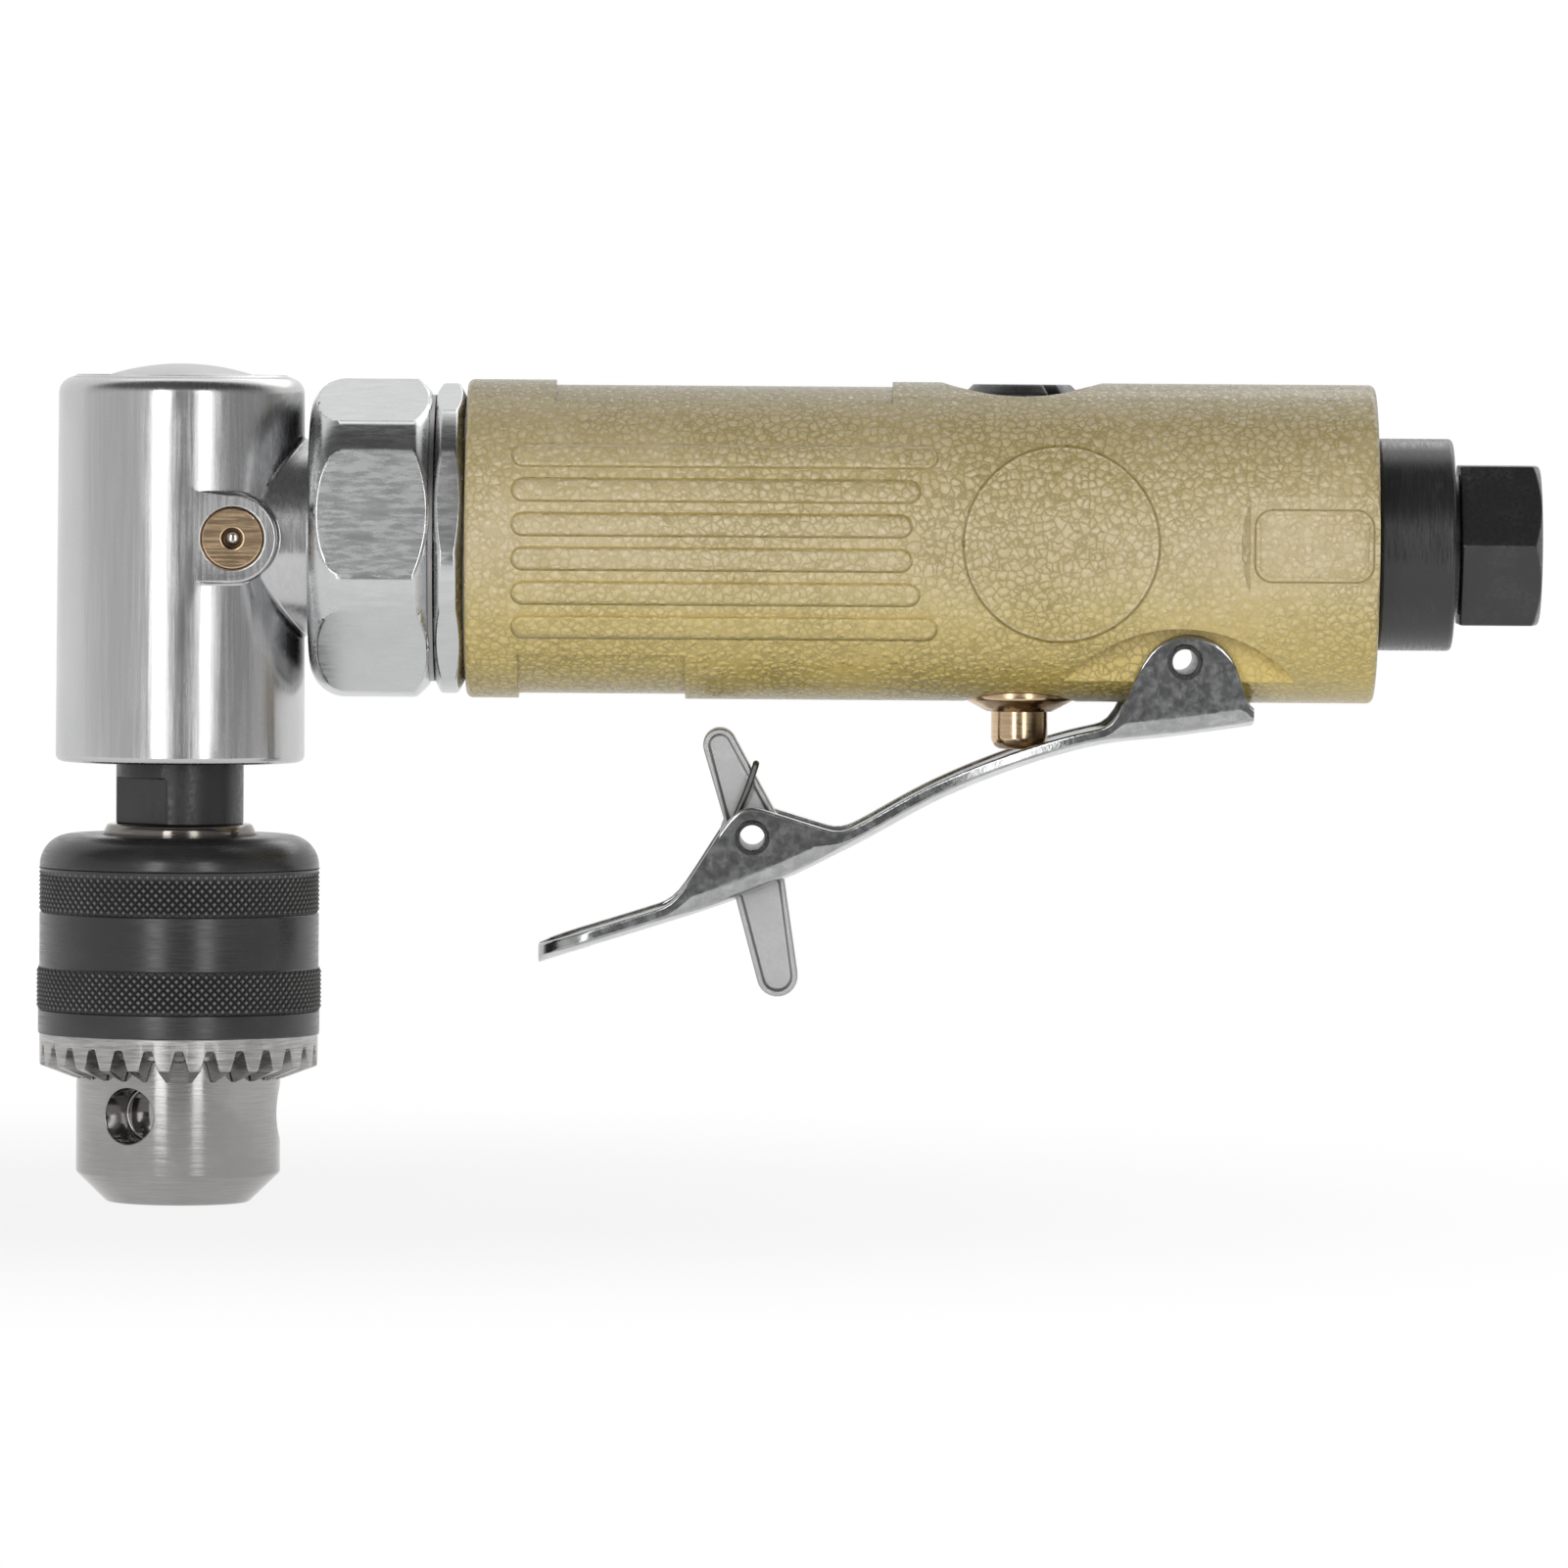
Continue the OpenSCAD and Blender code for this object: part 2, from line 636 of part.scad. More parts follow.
module spindle() {
    flat_top = chuck_len + spindle_show * 0.75;
    color("#242425") difference() {
        union() {
            post(chuck_len - chuck_thread_len, chuck_len, chuck_thread_d);
            post(chuck_len, bearing_z, spindle_d);
            post(bearing_z, gear_seat_z, bearing_bore);
            post(gear_seat_z, axis_z - pinion_pitch_r * bevel_inner, gear_seat_d);
            post(axis_z - pinion_pitch_r * bevel_inner, cavity_top + clear + top_bush_h, journal_d);
        }
        for (a = [0, 180]) rotate(225 + a)
            translate([spindle_flats / 2, -spindle_d, chuck_len - past])
            cube([spindle_d, 2 * spindle_d, flat_top - chuck_len + past]);
    }
}

module bevel_gear() {
    far = gear_crown_r / tan(atan(gear_teeth / pinion_teeth) - atan(bevel_ded / bevel_cone)) + 0.2;
    near = pinion_pitch_r * bevel_inner;
    color("#77777b") difference() {
        union() {
            intersection() {
                translate([0, 0, axis_z - far]) rotate(180 / gear_teeth)
                    linear_extrude(far - near, scale = near / far) bevel_outline(gear_teeth, pinion_teeth, far);
                post(axis_z - far, axis_z, 2 * gear_crown_r);
            }
            post(gear_seat_z, axis_z - far, gear_hub_d);
            post(axis_z - far - 1.2, axis_z - far, 2 * gear_crown_r);
        }
        post(gear_seat_z - past, axis_z, gear_seat_d + play);
    }
}

module spindle_bearing_outer() {
    color("#c9c9cc") translate([0, 0, bearing_z])
        bearing_outer(bearing_bore, spindle_bearing_d, spindle_bearing_w);
}

module spindle_bearing_inner() {
    color("#c9c9cc") translate([0, 0, bearing_z])
        bearing_inner(bearing_bore + play, spindle_bearing_d, spindle_bearing_w, 9);
}

module spindle_top_bush() {
    color("#b08d57") difference() {
        post(cavity_top, cavity_top + top_bush_h, top_bush_d);
        post(cavity_top - past, cavity_top + top_bush_h + past, journal_d + 2 * play);
    }
}

module bearing_retainer() {
    color("#6d6d70") difference() {
        post(bearing_z - retainer_h, bearing_z, spindle_bearing_d + 1.2);
        post(bearing_z - retainer_h - past, bearing_z + past, retainer_bore);
        for (a = [0, 180]) rotate(a) translate([(spindle_bearing_d + retainer_bore) / 4, 0, bearing_z - retainer_h - past])
            cylinder(h = 1.6 + past, d = 2);
    }
}

module head_housing() {
    draft = 0.1;
    color("#b8b9bb") difference() {
        union() {
            rotate_extrude() {
                polygon([
                    [0, head_bottom], [head_r + draft - 0.5, head_bottom], [head_r + draft, head_bottom + 0.5],
                    [head_r - draft, head_top - head_round], [head_r - head_round, head_top],
                    [cap_d / 2, head_top + 0.1], [0, head_top + 0.1]
                ]);
                translate([head_r - draft - head_round, head_top - head_round]) circle(head_round);
            }
            bar(0, flange_x + past, neck_d);
            bar(flange_x, case_x, 2 * flange_r);
            slab(-boss_face, 0) translate([0, axis_z]) {
                translate([0, -boss_h / 2]) square([grease_x, boss_h]);
                translate([grease_x, 0]) circle(d = boss_h);
            }
        }
        post(head_bottom - past, bearing_z + past, spindle_bearing_d + 1.2 + play);
        post(bearing_z, gear_seat_z, spindle_bearing_d + play);
        post(gear_seat_z - past, cavity_top, 2 * cavity_r);
        post(cavity_top - past, head_top + past, top_bush_d + play);
        post(head_top - cap_rim, head_top + past, cap_d + play);
        bar(0, pinion_bearing_x, 2 * pinion_tip_r + 1.2);
        bar(pinion_bearing_x, case_x + past, pinion_bearing_d + play);
        translate([grease_x, 0, axis_z]) rotate([90, 0, 0]) {
            cylinder(h = boss_face + past, d = 1.6);
            translate([0, 0, boss_face - grease_len]) cylinder(h = grease_len + past, d = grease_d + play);
        }
    }
}

module head_cap() {
    dome_r = (cap_d * cap_d / 4 + cap_dome * cap_dome) / (2 * cap_dome);
    color("#c3c4c6") {
        post(head_top - cap_rim, head_top + 0.1, cap_d);
        intersection() {
            translate([0, 0, head_top + 0.1 + cap_dome - dome_r]) sphere(dome_r);
            post(head_top, head_top + 0.1 + cap_dome + past, cap_d);
        }
    }
}

module grease_fitting() {
    color("#c8a24e") translate([grease_x, 0, axis_z]) rotate([90, 0, 0]) difference() {
        translate([0, 0, boss_face - grease_len]) cylinder(h = grease_len + 0.25, d = grease_d);
        cylinder(h = boss_face + past, d = grease_ball_d * 0.8);
        translate([0, 0, boss_face - grease_len - past])
            cylinder(h = grease_len + past - grease_lip, d = grease_ball_d + 4 * play);
    }
}

module grease_ball() {
    seat = boss_face - grease_lip - grease_ball_d / 2 * sqrt(1 - 0.8 * 0.8) - play;
    color("#d5d5d8") translate([grease_x, 0, axis_z]) rotate([90, 0, 0])
        translate([0, 0, min(seat, boss_face - grease_lip - grease_ball_d / 2 - play)]) sphere(d = grease_ball_d);
}

// Coupling and gear case

// A hexagon bar along the handle, with one flat turned up from the front by an angle
module hex_bar(x, length, af, turn) along(x) rotate(90 + 30 - turn) cylinder(h = length, d = af / cos(30), $fn = 6);

module coupling_nut() {
    r = coupling_d / 2;
    color("#cfd0d2") difference() {
        intersection() {
            hex_bar(nut_x, coupling_len, coupling_af, 10.5);
            along(nut_x) rotate_extrude() {
                polygon([
                    [0, 0], [r - coupling_round, 0], [r, coupling_round], [r, coupling_len - 1.6],
                    [r - 1.6, coupling_len], [0, coupling_len]
                ]);
                translate([r - coupling_round, coupling_round]) circle(coupling_round);
            }
        }
        bar(nut_x - past, nut_x + coupling_len, neck_d + 2 * clear);
        bar(flange_x, nut_x + coupling_len + past, case_d + 2 * play);
    }
}

module lock_ring() {
    r = lock_d / 2;
    edge = 0.8;
    color("#cfd0d2") difference() {
        intersection() {
            hex_bar(lock_x, lock_t, coupling_af, 15);
            along(lock_x) rotate_extrude() polygon([
                [0, 0], [r - 2 * edge, 0], [r, edge], [r, lock_t - edge], [r - 2 * edge, lock_t], [0, lock_t]
            ]);
        }
        bar(lock_x - past, lock_x + lock_t + past, case_d + 2 * play);
    }
}

module gear_case() {
    color("#4a4a4d") difference() {
        union() {
            bar(case_x, case_end, case_d);
            bar(lock_x - thread_show, lock_x, coupling_af - 0.8);
        }
        bar(case_x - past, carrier_bearing_x, carrier_bearing_d - 3);
        bar(carrier_bearing_x, carrier_bearing_x + carrier_bearing_w, carrier_bearing_d + play);
        bar(carrier_bearing_x + carrier_bearing_w - past, ring_x, 2 * ring_outer_r - 3);
        bar(ring_x, case_end + past, 2 * ring_outer_r + play);
    }
}

module ring_gear() {
    color("#7d7d81") along(ring_x) difference() {
        cylinder(h = ring_w, r = ring_outer_r);
        translate([0, 0, -past]) linear_extrude(ring_w + 2 * past) rotate(180 / ring_teeth)
            gear_outline(ring_teeth, planet_module, planet_ded, planet_add, -tooth_play / 2);
    }
}

module bevel_pinion() {
    far = pinion_back;
    near = gear_pitch_r * bevel_inner;
    color("#77777b") {
        translate([far, 0, axis_z]) rotate([0, -90, 0])
            linear_extrude(far - near, scale = near / far) bevel_outline(pinion_teeth, gear_teeth, far);
        bar(far, pinion_bearing_x, 11);
        bar(pinion_bearing_x, pinion_shaft_end, pinion_shaft_d);
    }
}

module pinion_bearing_outer() {
    color("#c9c9cc") along(pinion_bearing_x) bearing_outer(pinion_shaft_d, pinion_bearing_d, pinion_bearing_w);
}

module pinion_bearing_inner() {
    color("#c9c9cc") along(pinion_bearing_x)
        bearing_inner(pinion_shaft_d + play, pinion_bearing_d, pinion_bearing_w, 8);
}

module planet_carrier() {
    disc_r = planet_orbit + planet_pin_d / 2 + 1.4;
    color("#6f6f73") difference() {
        union() {
            bar(carrier_bearing_x, carrier_x + past, carrier_hub_d);
            bar(carrier_x, carrier_x + carrier_t, 2 * disc_r);
        }
        bar(case_x - past, pinion_shaft_end + 0.2, pinion_shaft_d + play);
        for (i = [0:2]) along(carrier_x - past) rotate(i * 120) translate([planet_orbit, 0, 0])
            cylinder(h = carrier_t + 2 * past, d = planet_pin_d + play);
    }
}

module carrier_bearing_outer() {
    color("#c9c9cc") along(carrier_bearing_x) bearing_outer(carrier_hub_d, carrier_bearing_d, carrier_bearing_w);
}

module carrier_bearing_inner() {
    color("#c9c9cc") along(carrier_bearing_x)
        bearing_inner(carrier_hub_d + play, carrier_bearing_d, carrier_bearing_w, 10);
}

module planet_pins() {
    color("#a7a7ab") for (i = [0:2]) along(carrier_x) rotate(i * 120) translate([planet_orbit, 0, 0])
        cylinder(h = planet_x + planet_w + 0.2 - carrier_x, d = planet_pin_d);
}

module planet_gear(i) {
    color("#85858a") along(planet_x) rotate(i * 120) translate([planet_orbit, 0, 0]) difference() {
        rotate(180 / planet_teeth) linear_extrude(planet_w)
            gear_outline(planet_teeth, planet_module, planet_add, planet_ded, tooth_play / 2);
        translate([0, 0, -past]) cylinder(h = planet_w + 2 * past, d = planet_pin_d + 2 * play);
    }
}

module sun_gear() {
    color("#85858a") along(planet_x) difference() {
        linear_extrude(planet_w + 0.4) gear_outline(sun_teeth, planet_module, planet_add, planet_ded, tooth_play / 2);
        translate([0, 0, -past]) cylinder(h = planet_w + 0.4 + 2 * past, d = sun_bore + play);
    }
}

// Motor

module rotor() {
    core_r = rotor_r / 2;
    color("#5c5c60") difference() {
        union() {
            bar(planet_x, planet_x + planet_w + 0.4, sun_bore);
            bar(planet_x + planet_w + 0.4, motor_end - 0.6, rotor_shaft_d);
            bar(cylinder_x + 0.1, rear_plate_x - 0.1, rotor_d);
        }
        for (i = [0:vanes - 1]) along(cylinder_x - past) rotate(i * 360 / vanes)
            translate([core_r, -vane_t / 2 - play, 0]) cube([rotor_r, vane_t + 2 * play, motor_len + 2 * past]);
    }
}

module rotor_vanes() {
    core_r = rotor_r / 2;
    color("#3d352c") for (i = [0:vanes - 1]) along(cylinder_x + 0.2) rotate(i * 360 / vanes)
        translate([core_r + 0.1, -vane_t / 2, 0]) cube([rotor_r - core_r - 0.3, vane_t, motor_len - 0.4]);
}

module motor_cylinder() {
    port_d = 3;
    ports = 4;
    color("#9b9ba0") difference() {
        bar(cylinder_x, rear_plate_x, motor_d);
        translate([0, 0, motor_offset]) bar(cylinder_x - past, rear_plate_x + past, motor_bore);
        translate([0, 0, -dowel_r]) bar(cylinder_x - past, rear_plate_x + past, dowel_d + 2 * play);
        for (i = [1:ports]) translate([cylinder_x + motor_len * i / (ports + 1), 0, axis_z]) rotate([90, 0, 0])
            cylinder(h = motor_d, d = port_d);
    }
}

// An end plate whose bearing seat opens towards the given face
module end_plate(x, seat_x) {
    difference() {
        bar(x, x + end_plate_t, motor_d);
        bar(x - past, x + end_plate_t + past, rotor_shaft_d + 1.6);
        bar(seat_x, seat_x + rotor_bearing_w, rotor_bearing_d + play);
        translate([0, 0, -dowel_r]) bar(x - past, x + end_plate_t + past, dowel_d + 2 * play);
    }
}

front_seat = front_plate_x;
rear_seat_x = motor_end - rotor_bearing_w;

module front_end_plate() color("#a4a4a8") end_plate(front_plate_x, front_seat);
module rear_end_plate() color("#a4a4a8") end_plate(rear_plate_x, rear_seat_x);

module front_rotor_bearing_outer() {
    color("#c9c9cc") along(front_seat) bearing_outer(rotor_shaft_d, rotor_bearing_d, rotor_bearing_w);
}
module front_rotor_bearing_inner() {
    color("#c9c9cc") along(front_seat) bearing_inner(rotor_shaft_d + play, rotor_bearing_d, rotor_bearing_w, 8);
}
module rear_rotor_bearing_outer() {
    color("#c9c9cc") along(rear_seat_x) bearing_outer(rotor_shaft_d, rotor_bearing_d, rotor_bearing_w);
}
module rear_rotor_bearing_inner() {
    color("#c9c9cc") along(rear_seat_x) bearing_inner(rotor_shaft_d + play, rotor_bearing_d, rotor_bearing_w, 8);
}

module motor_dowel() {
    color("#bcbcc0") translate([0, 0, -dowel_r]) bar(front_plate_x + 0.2, motor_end - 0.2, dowel_d);
}

// Handle

disc_x = body_x + disc_from_front;
rib_end_r = disc_d / 2 + 6.2;

// Grip ribs on both sides: their rear ends follow an arc about the round outline
module ribs() {
    intersection() {
        for (side = [-1, 1], i = [-2.5:1:2.5]) slab(side < 0 ? -body_d : 0, side < 0 ? 0 : body_d)
            translate([0, axis_z + i * rib_pitch])
            slot_outline(body_x + rib_start, disc_x - sqrt(rib_end_r ^ 2 - (i * rib_pitch) ^ 2), rib_w);
        bar(body_x, body_end, body_d + 2 * rib_h);
    }
}

// Shallow label recesses: a strip under the handle and a longer one on its top
module label_cuts() {
    low = body_r * 0.71;
    high = body_r * 0.86;
    difference() {
        union() {
            translate([body_x + 6.2, -body_r, axis_z - body_r - past]) cube([19.9, body_d, body_r + past - low]);
            translate([body_x + 10.5, -body_r, axis_z + high]) cube([40.1, body_d, body_r + past - high]);
        }
        bar(body_x, body_end, body_d - 2 * label_depth);
    }
}

// The fine round outline on both sides
module disc_cuts() {
    difference() {
        for (side = [-1, 1]) slab(side < 0 ? -body_r - past : 0, side < 0 ? 0 : body_r + past)
            translate([disc_x, axis_z]) difference() {
                circle(d = disc_d);
                circle(d = disc_d - 0.9);
            }
        bar(body_x, body_end, body_d - 0.5);
    }
}

// The flat side panel, with a sloping front wall, and its raised frame
panel_y = sqrt(body_r ^ 2 - (panel_h / 2) ^ 2);
module panel_cut() {
    front = body_end - panel_len;
    translate([0, 0, axis_z - panel_h / 2]) linear_extrude(panel_h) polygon([
        [front - 1.6, -body_r - 0.4], [front, -panel_y], [body_end + past, -panel_y],
        [body_end + past, -body_r - past], [front - 1.6, -body_r - past]
    ]);
}
module panel_frame() {
    line = 0.5;
    corner = 2;
    module frame(grow) {
        w = panel_len - 1.4 + 2 * grow;
        h = panel_h - 3.2 + 2 * grow;
        c = corner + grow;
        square([w - 2 * c, h], center = true);
        square([w, h - 2 * c], center = true);
        for (sx = [-1, 1], sz = [-1, 1]) translate([sx * (w / 2 - c), sz * (h / 2 - c)]) circle(c);
    }
    slab(-panel_y - 0.3, -panel_y + 0.5) translate([body_end - panel_len / 2 - 0.1, axis_z]) difference() {
        frame(0);
        frame(-line);
    }
}

// Flats on both sides for the lever's ears, under a round upper edge
pocket_r = 18.1;
pocket_drop = 14.1;
module pocket_cuts() {
    for (side = [-1, 1]) slab(side < 0 ? -body_r - past : pocket_w / 2, side < 0 ? -pocket_w / 2 : body_r + past)
        translate(pivot - [0.6, pocket_drop]) circle(pocket_r);
}

module handle_body() {
    color("#b3a276") difference() {
        union() {
            difference() {
                along(body_x) round_bar(body_r, body_len, body_round);
                label_cuts();
                disc_cuts();
                panel_cut();
                pocket_cuts();
            }
            panel_frame();
            ribs();
        }
        bar(body_x - past, case_end, case_d + 2 * play);
        bar(case_end - past, motor_end + 0.2, motor_d + 2 * play);
        // Vertical valve bore: spot face and bushing below, chamber, regulator seat and countersink above
        translate([valve_x, 0, axis_z - body_r - past]) cylinder(h = body_r + past - spot_drop, d = spot_d);
        translate([valve_x, 0, axis_z - body_r]) cylinder(h = body_r, d = bushing_shank_d + play);
        translate([valve_x, 0, bushing_top]) cylinder(h = body_r * 2, d = chamber_d);
        translate([valve_x, 0, regulator_seat]) cylinder(h = body_r, d = regulator_d + 2 * running);
        translate([valve_x, 0, axis_z + body_r - 2])
            cylinder(h = 2, d1 = regulator_d + 2 * running, d2 = sink_d);
        // Air feed to the motor and from the inlet, and the exhaust ducts
        bar(motor_end, valve_x, 5);
        bar(valve_x, rear_seat - inlet_stem, air_passage_d);
        bar(rear_seat - inlet_stem - 0.2, body_end + past, inlet_thread_d + 2 * play);
        bar(rear_seat, body_end + past, exhaust_d - 1.6 + 2 * play);
        for (side = [-1, 1]) translate([0, side * exhaust_duct_y, 0]) bar(motor_end, body_end, exhaust_duct_d);
        slab(-body_r, body_r) translate(pivot) circle(d = pin_d + play);
    }
}

// Valve

module valve_bushing() {
    seat = axis_z - spot_drop;
    color("#c9a45a") translate([valve_x, 0, 0]) difference() {
        union() {
            translate([0, 0, seat]) cylinder(h = bushing_top - seat, d = bushing_shank_d);
            translate([0, 0, seat - 1]) cylinder(h = 1, d = bushing_d);
            translate([0, 0, seat - 2.4]) cylinder(h = 1.4, d1 = button_d + 1.2, d2 = bushing_d);
        }
        translate([0, 0, axis_z - button_reach]) cylinder(h = button_reach, d = button_d + 2 * play);
    }
}

module throttle_button() {
    tip = 1.4;
    color("#c9a45a") translate([valve_x, 0, axis_z - button_reach]) {
        rotate_extrude() {
            square([button_d / 2 - tip, button_top - 2 - axis_z + button_reach]);
            translate([0, tip]) square([button_d / 2, button_top - 2 - axis_z + button_reach - tip]);
            translate([button_d / 2 - tip, tip]) circle(tip);
        }
        cylinder(h = button_top - axis_z + button_reach, d = 3.6);
    }
}

module throttle_valve() {
    color("#4b4b4d") translate([valve_x, 0, button_top]) {
        cylinder(h = valve_t, d = valve_d);
        cylinder(h = valve_t + 2, d = 3.6);
    }
}

throttle_coil_r = 3.2;
throttle_turns = 6;
function throttle_points() =
    let (z0 = button_top + valve_t + throttle_wire / 2 + 0.1, z1 = regulator_bottom - throttle_wire / 2 - 0.1)
    [for (i = [0:throttle_turns * 8]) [
        valve_x + throttle_coil_r * cos(i * 45), throttle_coil_r * sin(i * 45),
        z0 + (z1 - z0) * i / (throttle_turns * 8)
    ]];

module throttle_spring() {
    echo(throttle_spring_gap = own_gap(throttle_points(), throttle_wire / 2, 5));
    color("#8f8f93") tube(throttle_points(), throttle_wire / 2, [0, 0, 1]);
}

module regulator_screw() {
    r = regulator_d / 2;
    bevel = 1.2;
    groove = regulator_bottom + 2.4;
    color("#1d1d1f") translate([valve_x, 0, 0]) difference() {
        union() {
            rotate_extrude() polygon([
                [0, regulator_bottom], [chamber_d / 2 - play, regulator_bottom],
                [chamber_d / 2 - play, regulator_seat + play], [r, regulator_seat + play],
                [r, regulator_top - bevel], [r - bevel, regulator_top], [0, regulator_top]
            ]);
        }
        rotate(-57) translate([-r - past, -0.8, regulator_top - 1.4]) cube([2 * r + 2 * past, 1.6, 1.4 + past]);
        translate([0, 0, groove]) difference() {
            cylinder(h = 1.6, d = chamber_d + past);
            translate([0, 0, -past]) cylinder(h = 1.6 + 2 * past, d = chamber_d - 2.4);
        }
    }
}

module regulator_seal() {
    wire = 1.1;
    color("#151515") translate([valve_x, 0, regulator_bottom + 2.4 + 0.8]) rotate_extrude()
        translate([chamber_d / 2 - wire / 2 - play, 0]) circle(d = wire);
}

// Lever and safety catch

// A smooth curve through the lever's path
function curve(p, i, t) =
    let (
        a = p[max(i - 1, 0)], b = p[i], c = p[i + 1], d = p[min(i + 2, len(p) - 1)],
        m = (c - a) / 2, n = (d - b) / 2
    )
    (2 * t ^ 3 - 3 * t ^ 2 + 1) * b + (t ^ 3 - 2 * t ^ 2 + t) * m + (3 * t ^ 2 - 2 * t ^ 3) * c + (t ^ 3 - t ^ 2) * n;
lever_curve = concat(
    [for (i = [0:len(lever_path) - 2], s = [0:path_steps - 1]) pivot + curve(lever_path, i, s / path_steps)],
    [pivot + lever_path[len(lever_path) - 1]]
);

// Half width along the lever: full at the ears, lever_w under the fingers, rounded at the tip
tip_run = 7;
function lever_half(x) =
    let (
        from_pivot = pivot[0] - x,
        k = min(1, max(0, (from_pivot - 9) / 22)),
        base = ear_out + (lever_w / 2 - ear_out) * (3 * k ^ 2 - 2 * k ^ 3),
        to_tip = min(1, (x - lever_curve[len(lever_curve) - 1][0] + 0.4) / tip_run)
    )
    base * (0.35 + 0.65 * sqrt(1 - (1 - to_tip) ^ 2));

section_steps = 3;
module lever_sheet() {
    stations = len(lever_curve);
    across = [for (j = [section_steps:-1:-section_steps]) j / section_steps];
    wide = len(across);
    function up(i) =
        let (d = lever_curve[min(i + 1, stations - 1)] - lever_curve[max(i - 1, 0)]) unit([d[1], -d[0]]);
    function place(i, j, lift) =
        let (q = lever_curve[i] + up(i) * (lever_crown * across[j] ^ 2 + lift))
        [q[0], across[j] * lever_half(lever_curve[i][0]), q[1]];
    points = [
        for (i = [0:stations - 1]) each concat(
            [for (j = [0:wide - 1]) place(i, j, 0)], [for (j = [wide - 1:-1:0]) place(i, j, lever_t)]
        )
    ];
    ring = 2 * wide;
    function at(i, k) = i * ring + k % ring;
    faces = concat(
        [for (j = [0:wide - 2]) each [[j, j + 1, ring - 2 - j], [j, ring - 2 - j, ring - 1 - j]]],
        [for (i = [0:stations - 2], k = [0:ring - 1]) each [
            [at(i, k), at(i + 1, k), at(i, k + 1)], [at(i + 1, k), at(i + 1, k + 1), at(i, k + 1)]
        ]],
        [for (j = [0:wide - 2]) let (o = (stations - 1) * ring) each [
            [o + j, o + ring - 2 - j, o + j + 1], [o + j, o + ring - 1 - j, o + ring - 2 - j]
        ]]
    );
    polyhedron(points, faces);
}

module throttle_lever() {
    pivot_base = [pivot + [-8.4, -8], pivot + [7.3, -6.6]];
    catch_base = [catch_pin_at + [-9.1, -7.7], catch_pin_at + [12, 0.1]];
    color("#c6c7c9") difference() {
        union() {
            lever_sheet();
            for (side = [-1, 1]) {
                slab(side < 0 ? -ear_out : ear_in, side < 0 ? -ear_in : ear_out)
                    ear_outline(pivot_base[0], pivot_base[1], pivot + [0.5, -3.1], lever_ear_r, [0, -0.9]);
                slab(side < 0 ? -catch_ear_out : catch_ear_in, side < 0 ? -catch_ear_in : catch_ear_out)
                    ear_outline(catch_base[0], catch_base[1], catch_pin_at, catch_ear_r, [0.4, -0.9]);
            }
        }
        slab(-body_r, body_r) translate(pivot) circle(d = pin_d + 2 * play);
        slab(-body_r, body_r) translate(catch_pin_at) circle(d = pin_d + play);
        slab(-catch_window / 2, catch_window / 2)
            translate(catch_pin_at + [-catch_down - 1.8, -14]) square([catch_down + 6.6, 14]);
    }
}

module hollow_pin(at, half) {
    slab(-half, half) translate(at) difference() {
        circle(d = pin_d);
        circle(d = pin_bore);
    }
}
module lever_pin() color("#55565a") hollow_pin(pivot, ear_out + 0.4);
module catch_pin() color("#55565a") hollow_pin(catch_pin_at, catch_ear_out + 0.4);

// The catch leans back above its pin and forward below it
catch_top_dir = polar(1, 110);
catch_low_dir = polar(1, -79.5);
// Points on an arc, both ends counted
function arc(c, r, a0, a1, steps) = [for (i = [0:steps]) c + polar(r, a0 + (a1 - a0) * i / steps)];
// Outline of the catch, drawn in by an amount for its sunken faces
module catch_outline(inset) {
    hub = 3.9 - inset;
    top_c = catch_pin_at + catch_top_dir * (catch_up - 0.4);
    low_c = catch_pin_at + catch_low_dir * (catch_down - 0.4);
    polygon(concat(
        arc(top_c, 2 - inset, 200, 20, 12), arc(catch_pin_at, hub, 45, -30, 6),
        arc(low_c, 2.45 - inset, 8, -170, 12), arc(catch_pin_at, hub, 210, 150, 6)
    ));
}

module safety_catch() {
    half = catch_t / 2;
    rim_w = 0.75;
    color("#a3a4a6") difference() {
        slab(-half, half) catch_outline(0);
        for (side = [-1, 1]) slab(side < 0 ? -half - past : half - catch_rim, side < 0 ? -half + catch_rim : half + past)
            catch_outline(rim_w);
        slab(-half - past, half + past) translate(catch_pin_at) circle(d = pin_d + 2 * play);
    }
}

catch_coil_r = pin_d / 2 + catch_wire / 2 + 0.35;
catch_turns = 2;
catch_leg = 8.6;
// The upper leg runs up the catch's front face and hooks over its edge; coils wind round the pin;
// the lower leg ends on the lever's sheet
function catch_spring_points() =
    let (
        y_in = -catch_t / 2 - catch_wire / 2 - 0.15, y_out = -catch_ear_in + catch_wire / 2 + 0.25,
        rings = catch_turns * 8,
        hook = catch_pin_at + [0.40, catch_leg],
        foot = catch_pin_at + [-catch_coil_r - 1.4, -3]
    )
    concat(
        [
            [hook[0], -catch_t / 2 + 1.4, hook[1]], [hook[0], y_in + 0.6, hook[1]],
            [hook[0] - 0.4, y_in, hook[1] - 0.6], [hook[0] - 1.1, y_in, hook[1] - catch_leg * 0.5]
        ],
        [for (i = [0:rings]) let (a = 170 + i * 45) [
            catch_pin_at[0] + catch_coil_r * cos(a), y_in + (y_out - y_in) * i / rings,
            catch_pin_at[1] + catch_coil_r * sin(a)
        ]],
        [[foot[0], y_out, foot[1]]]
    );

module catch_spring() {
    echo(catch_spring_gap = own_gap(catch_spring_points(), catch_wire / 2, 5));
    color("#2b2b2d") tube(catch_spring_points(), catch_wire / 2, [1, 0, 0]);
}

// Rear end

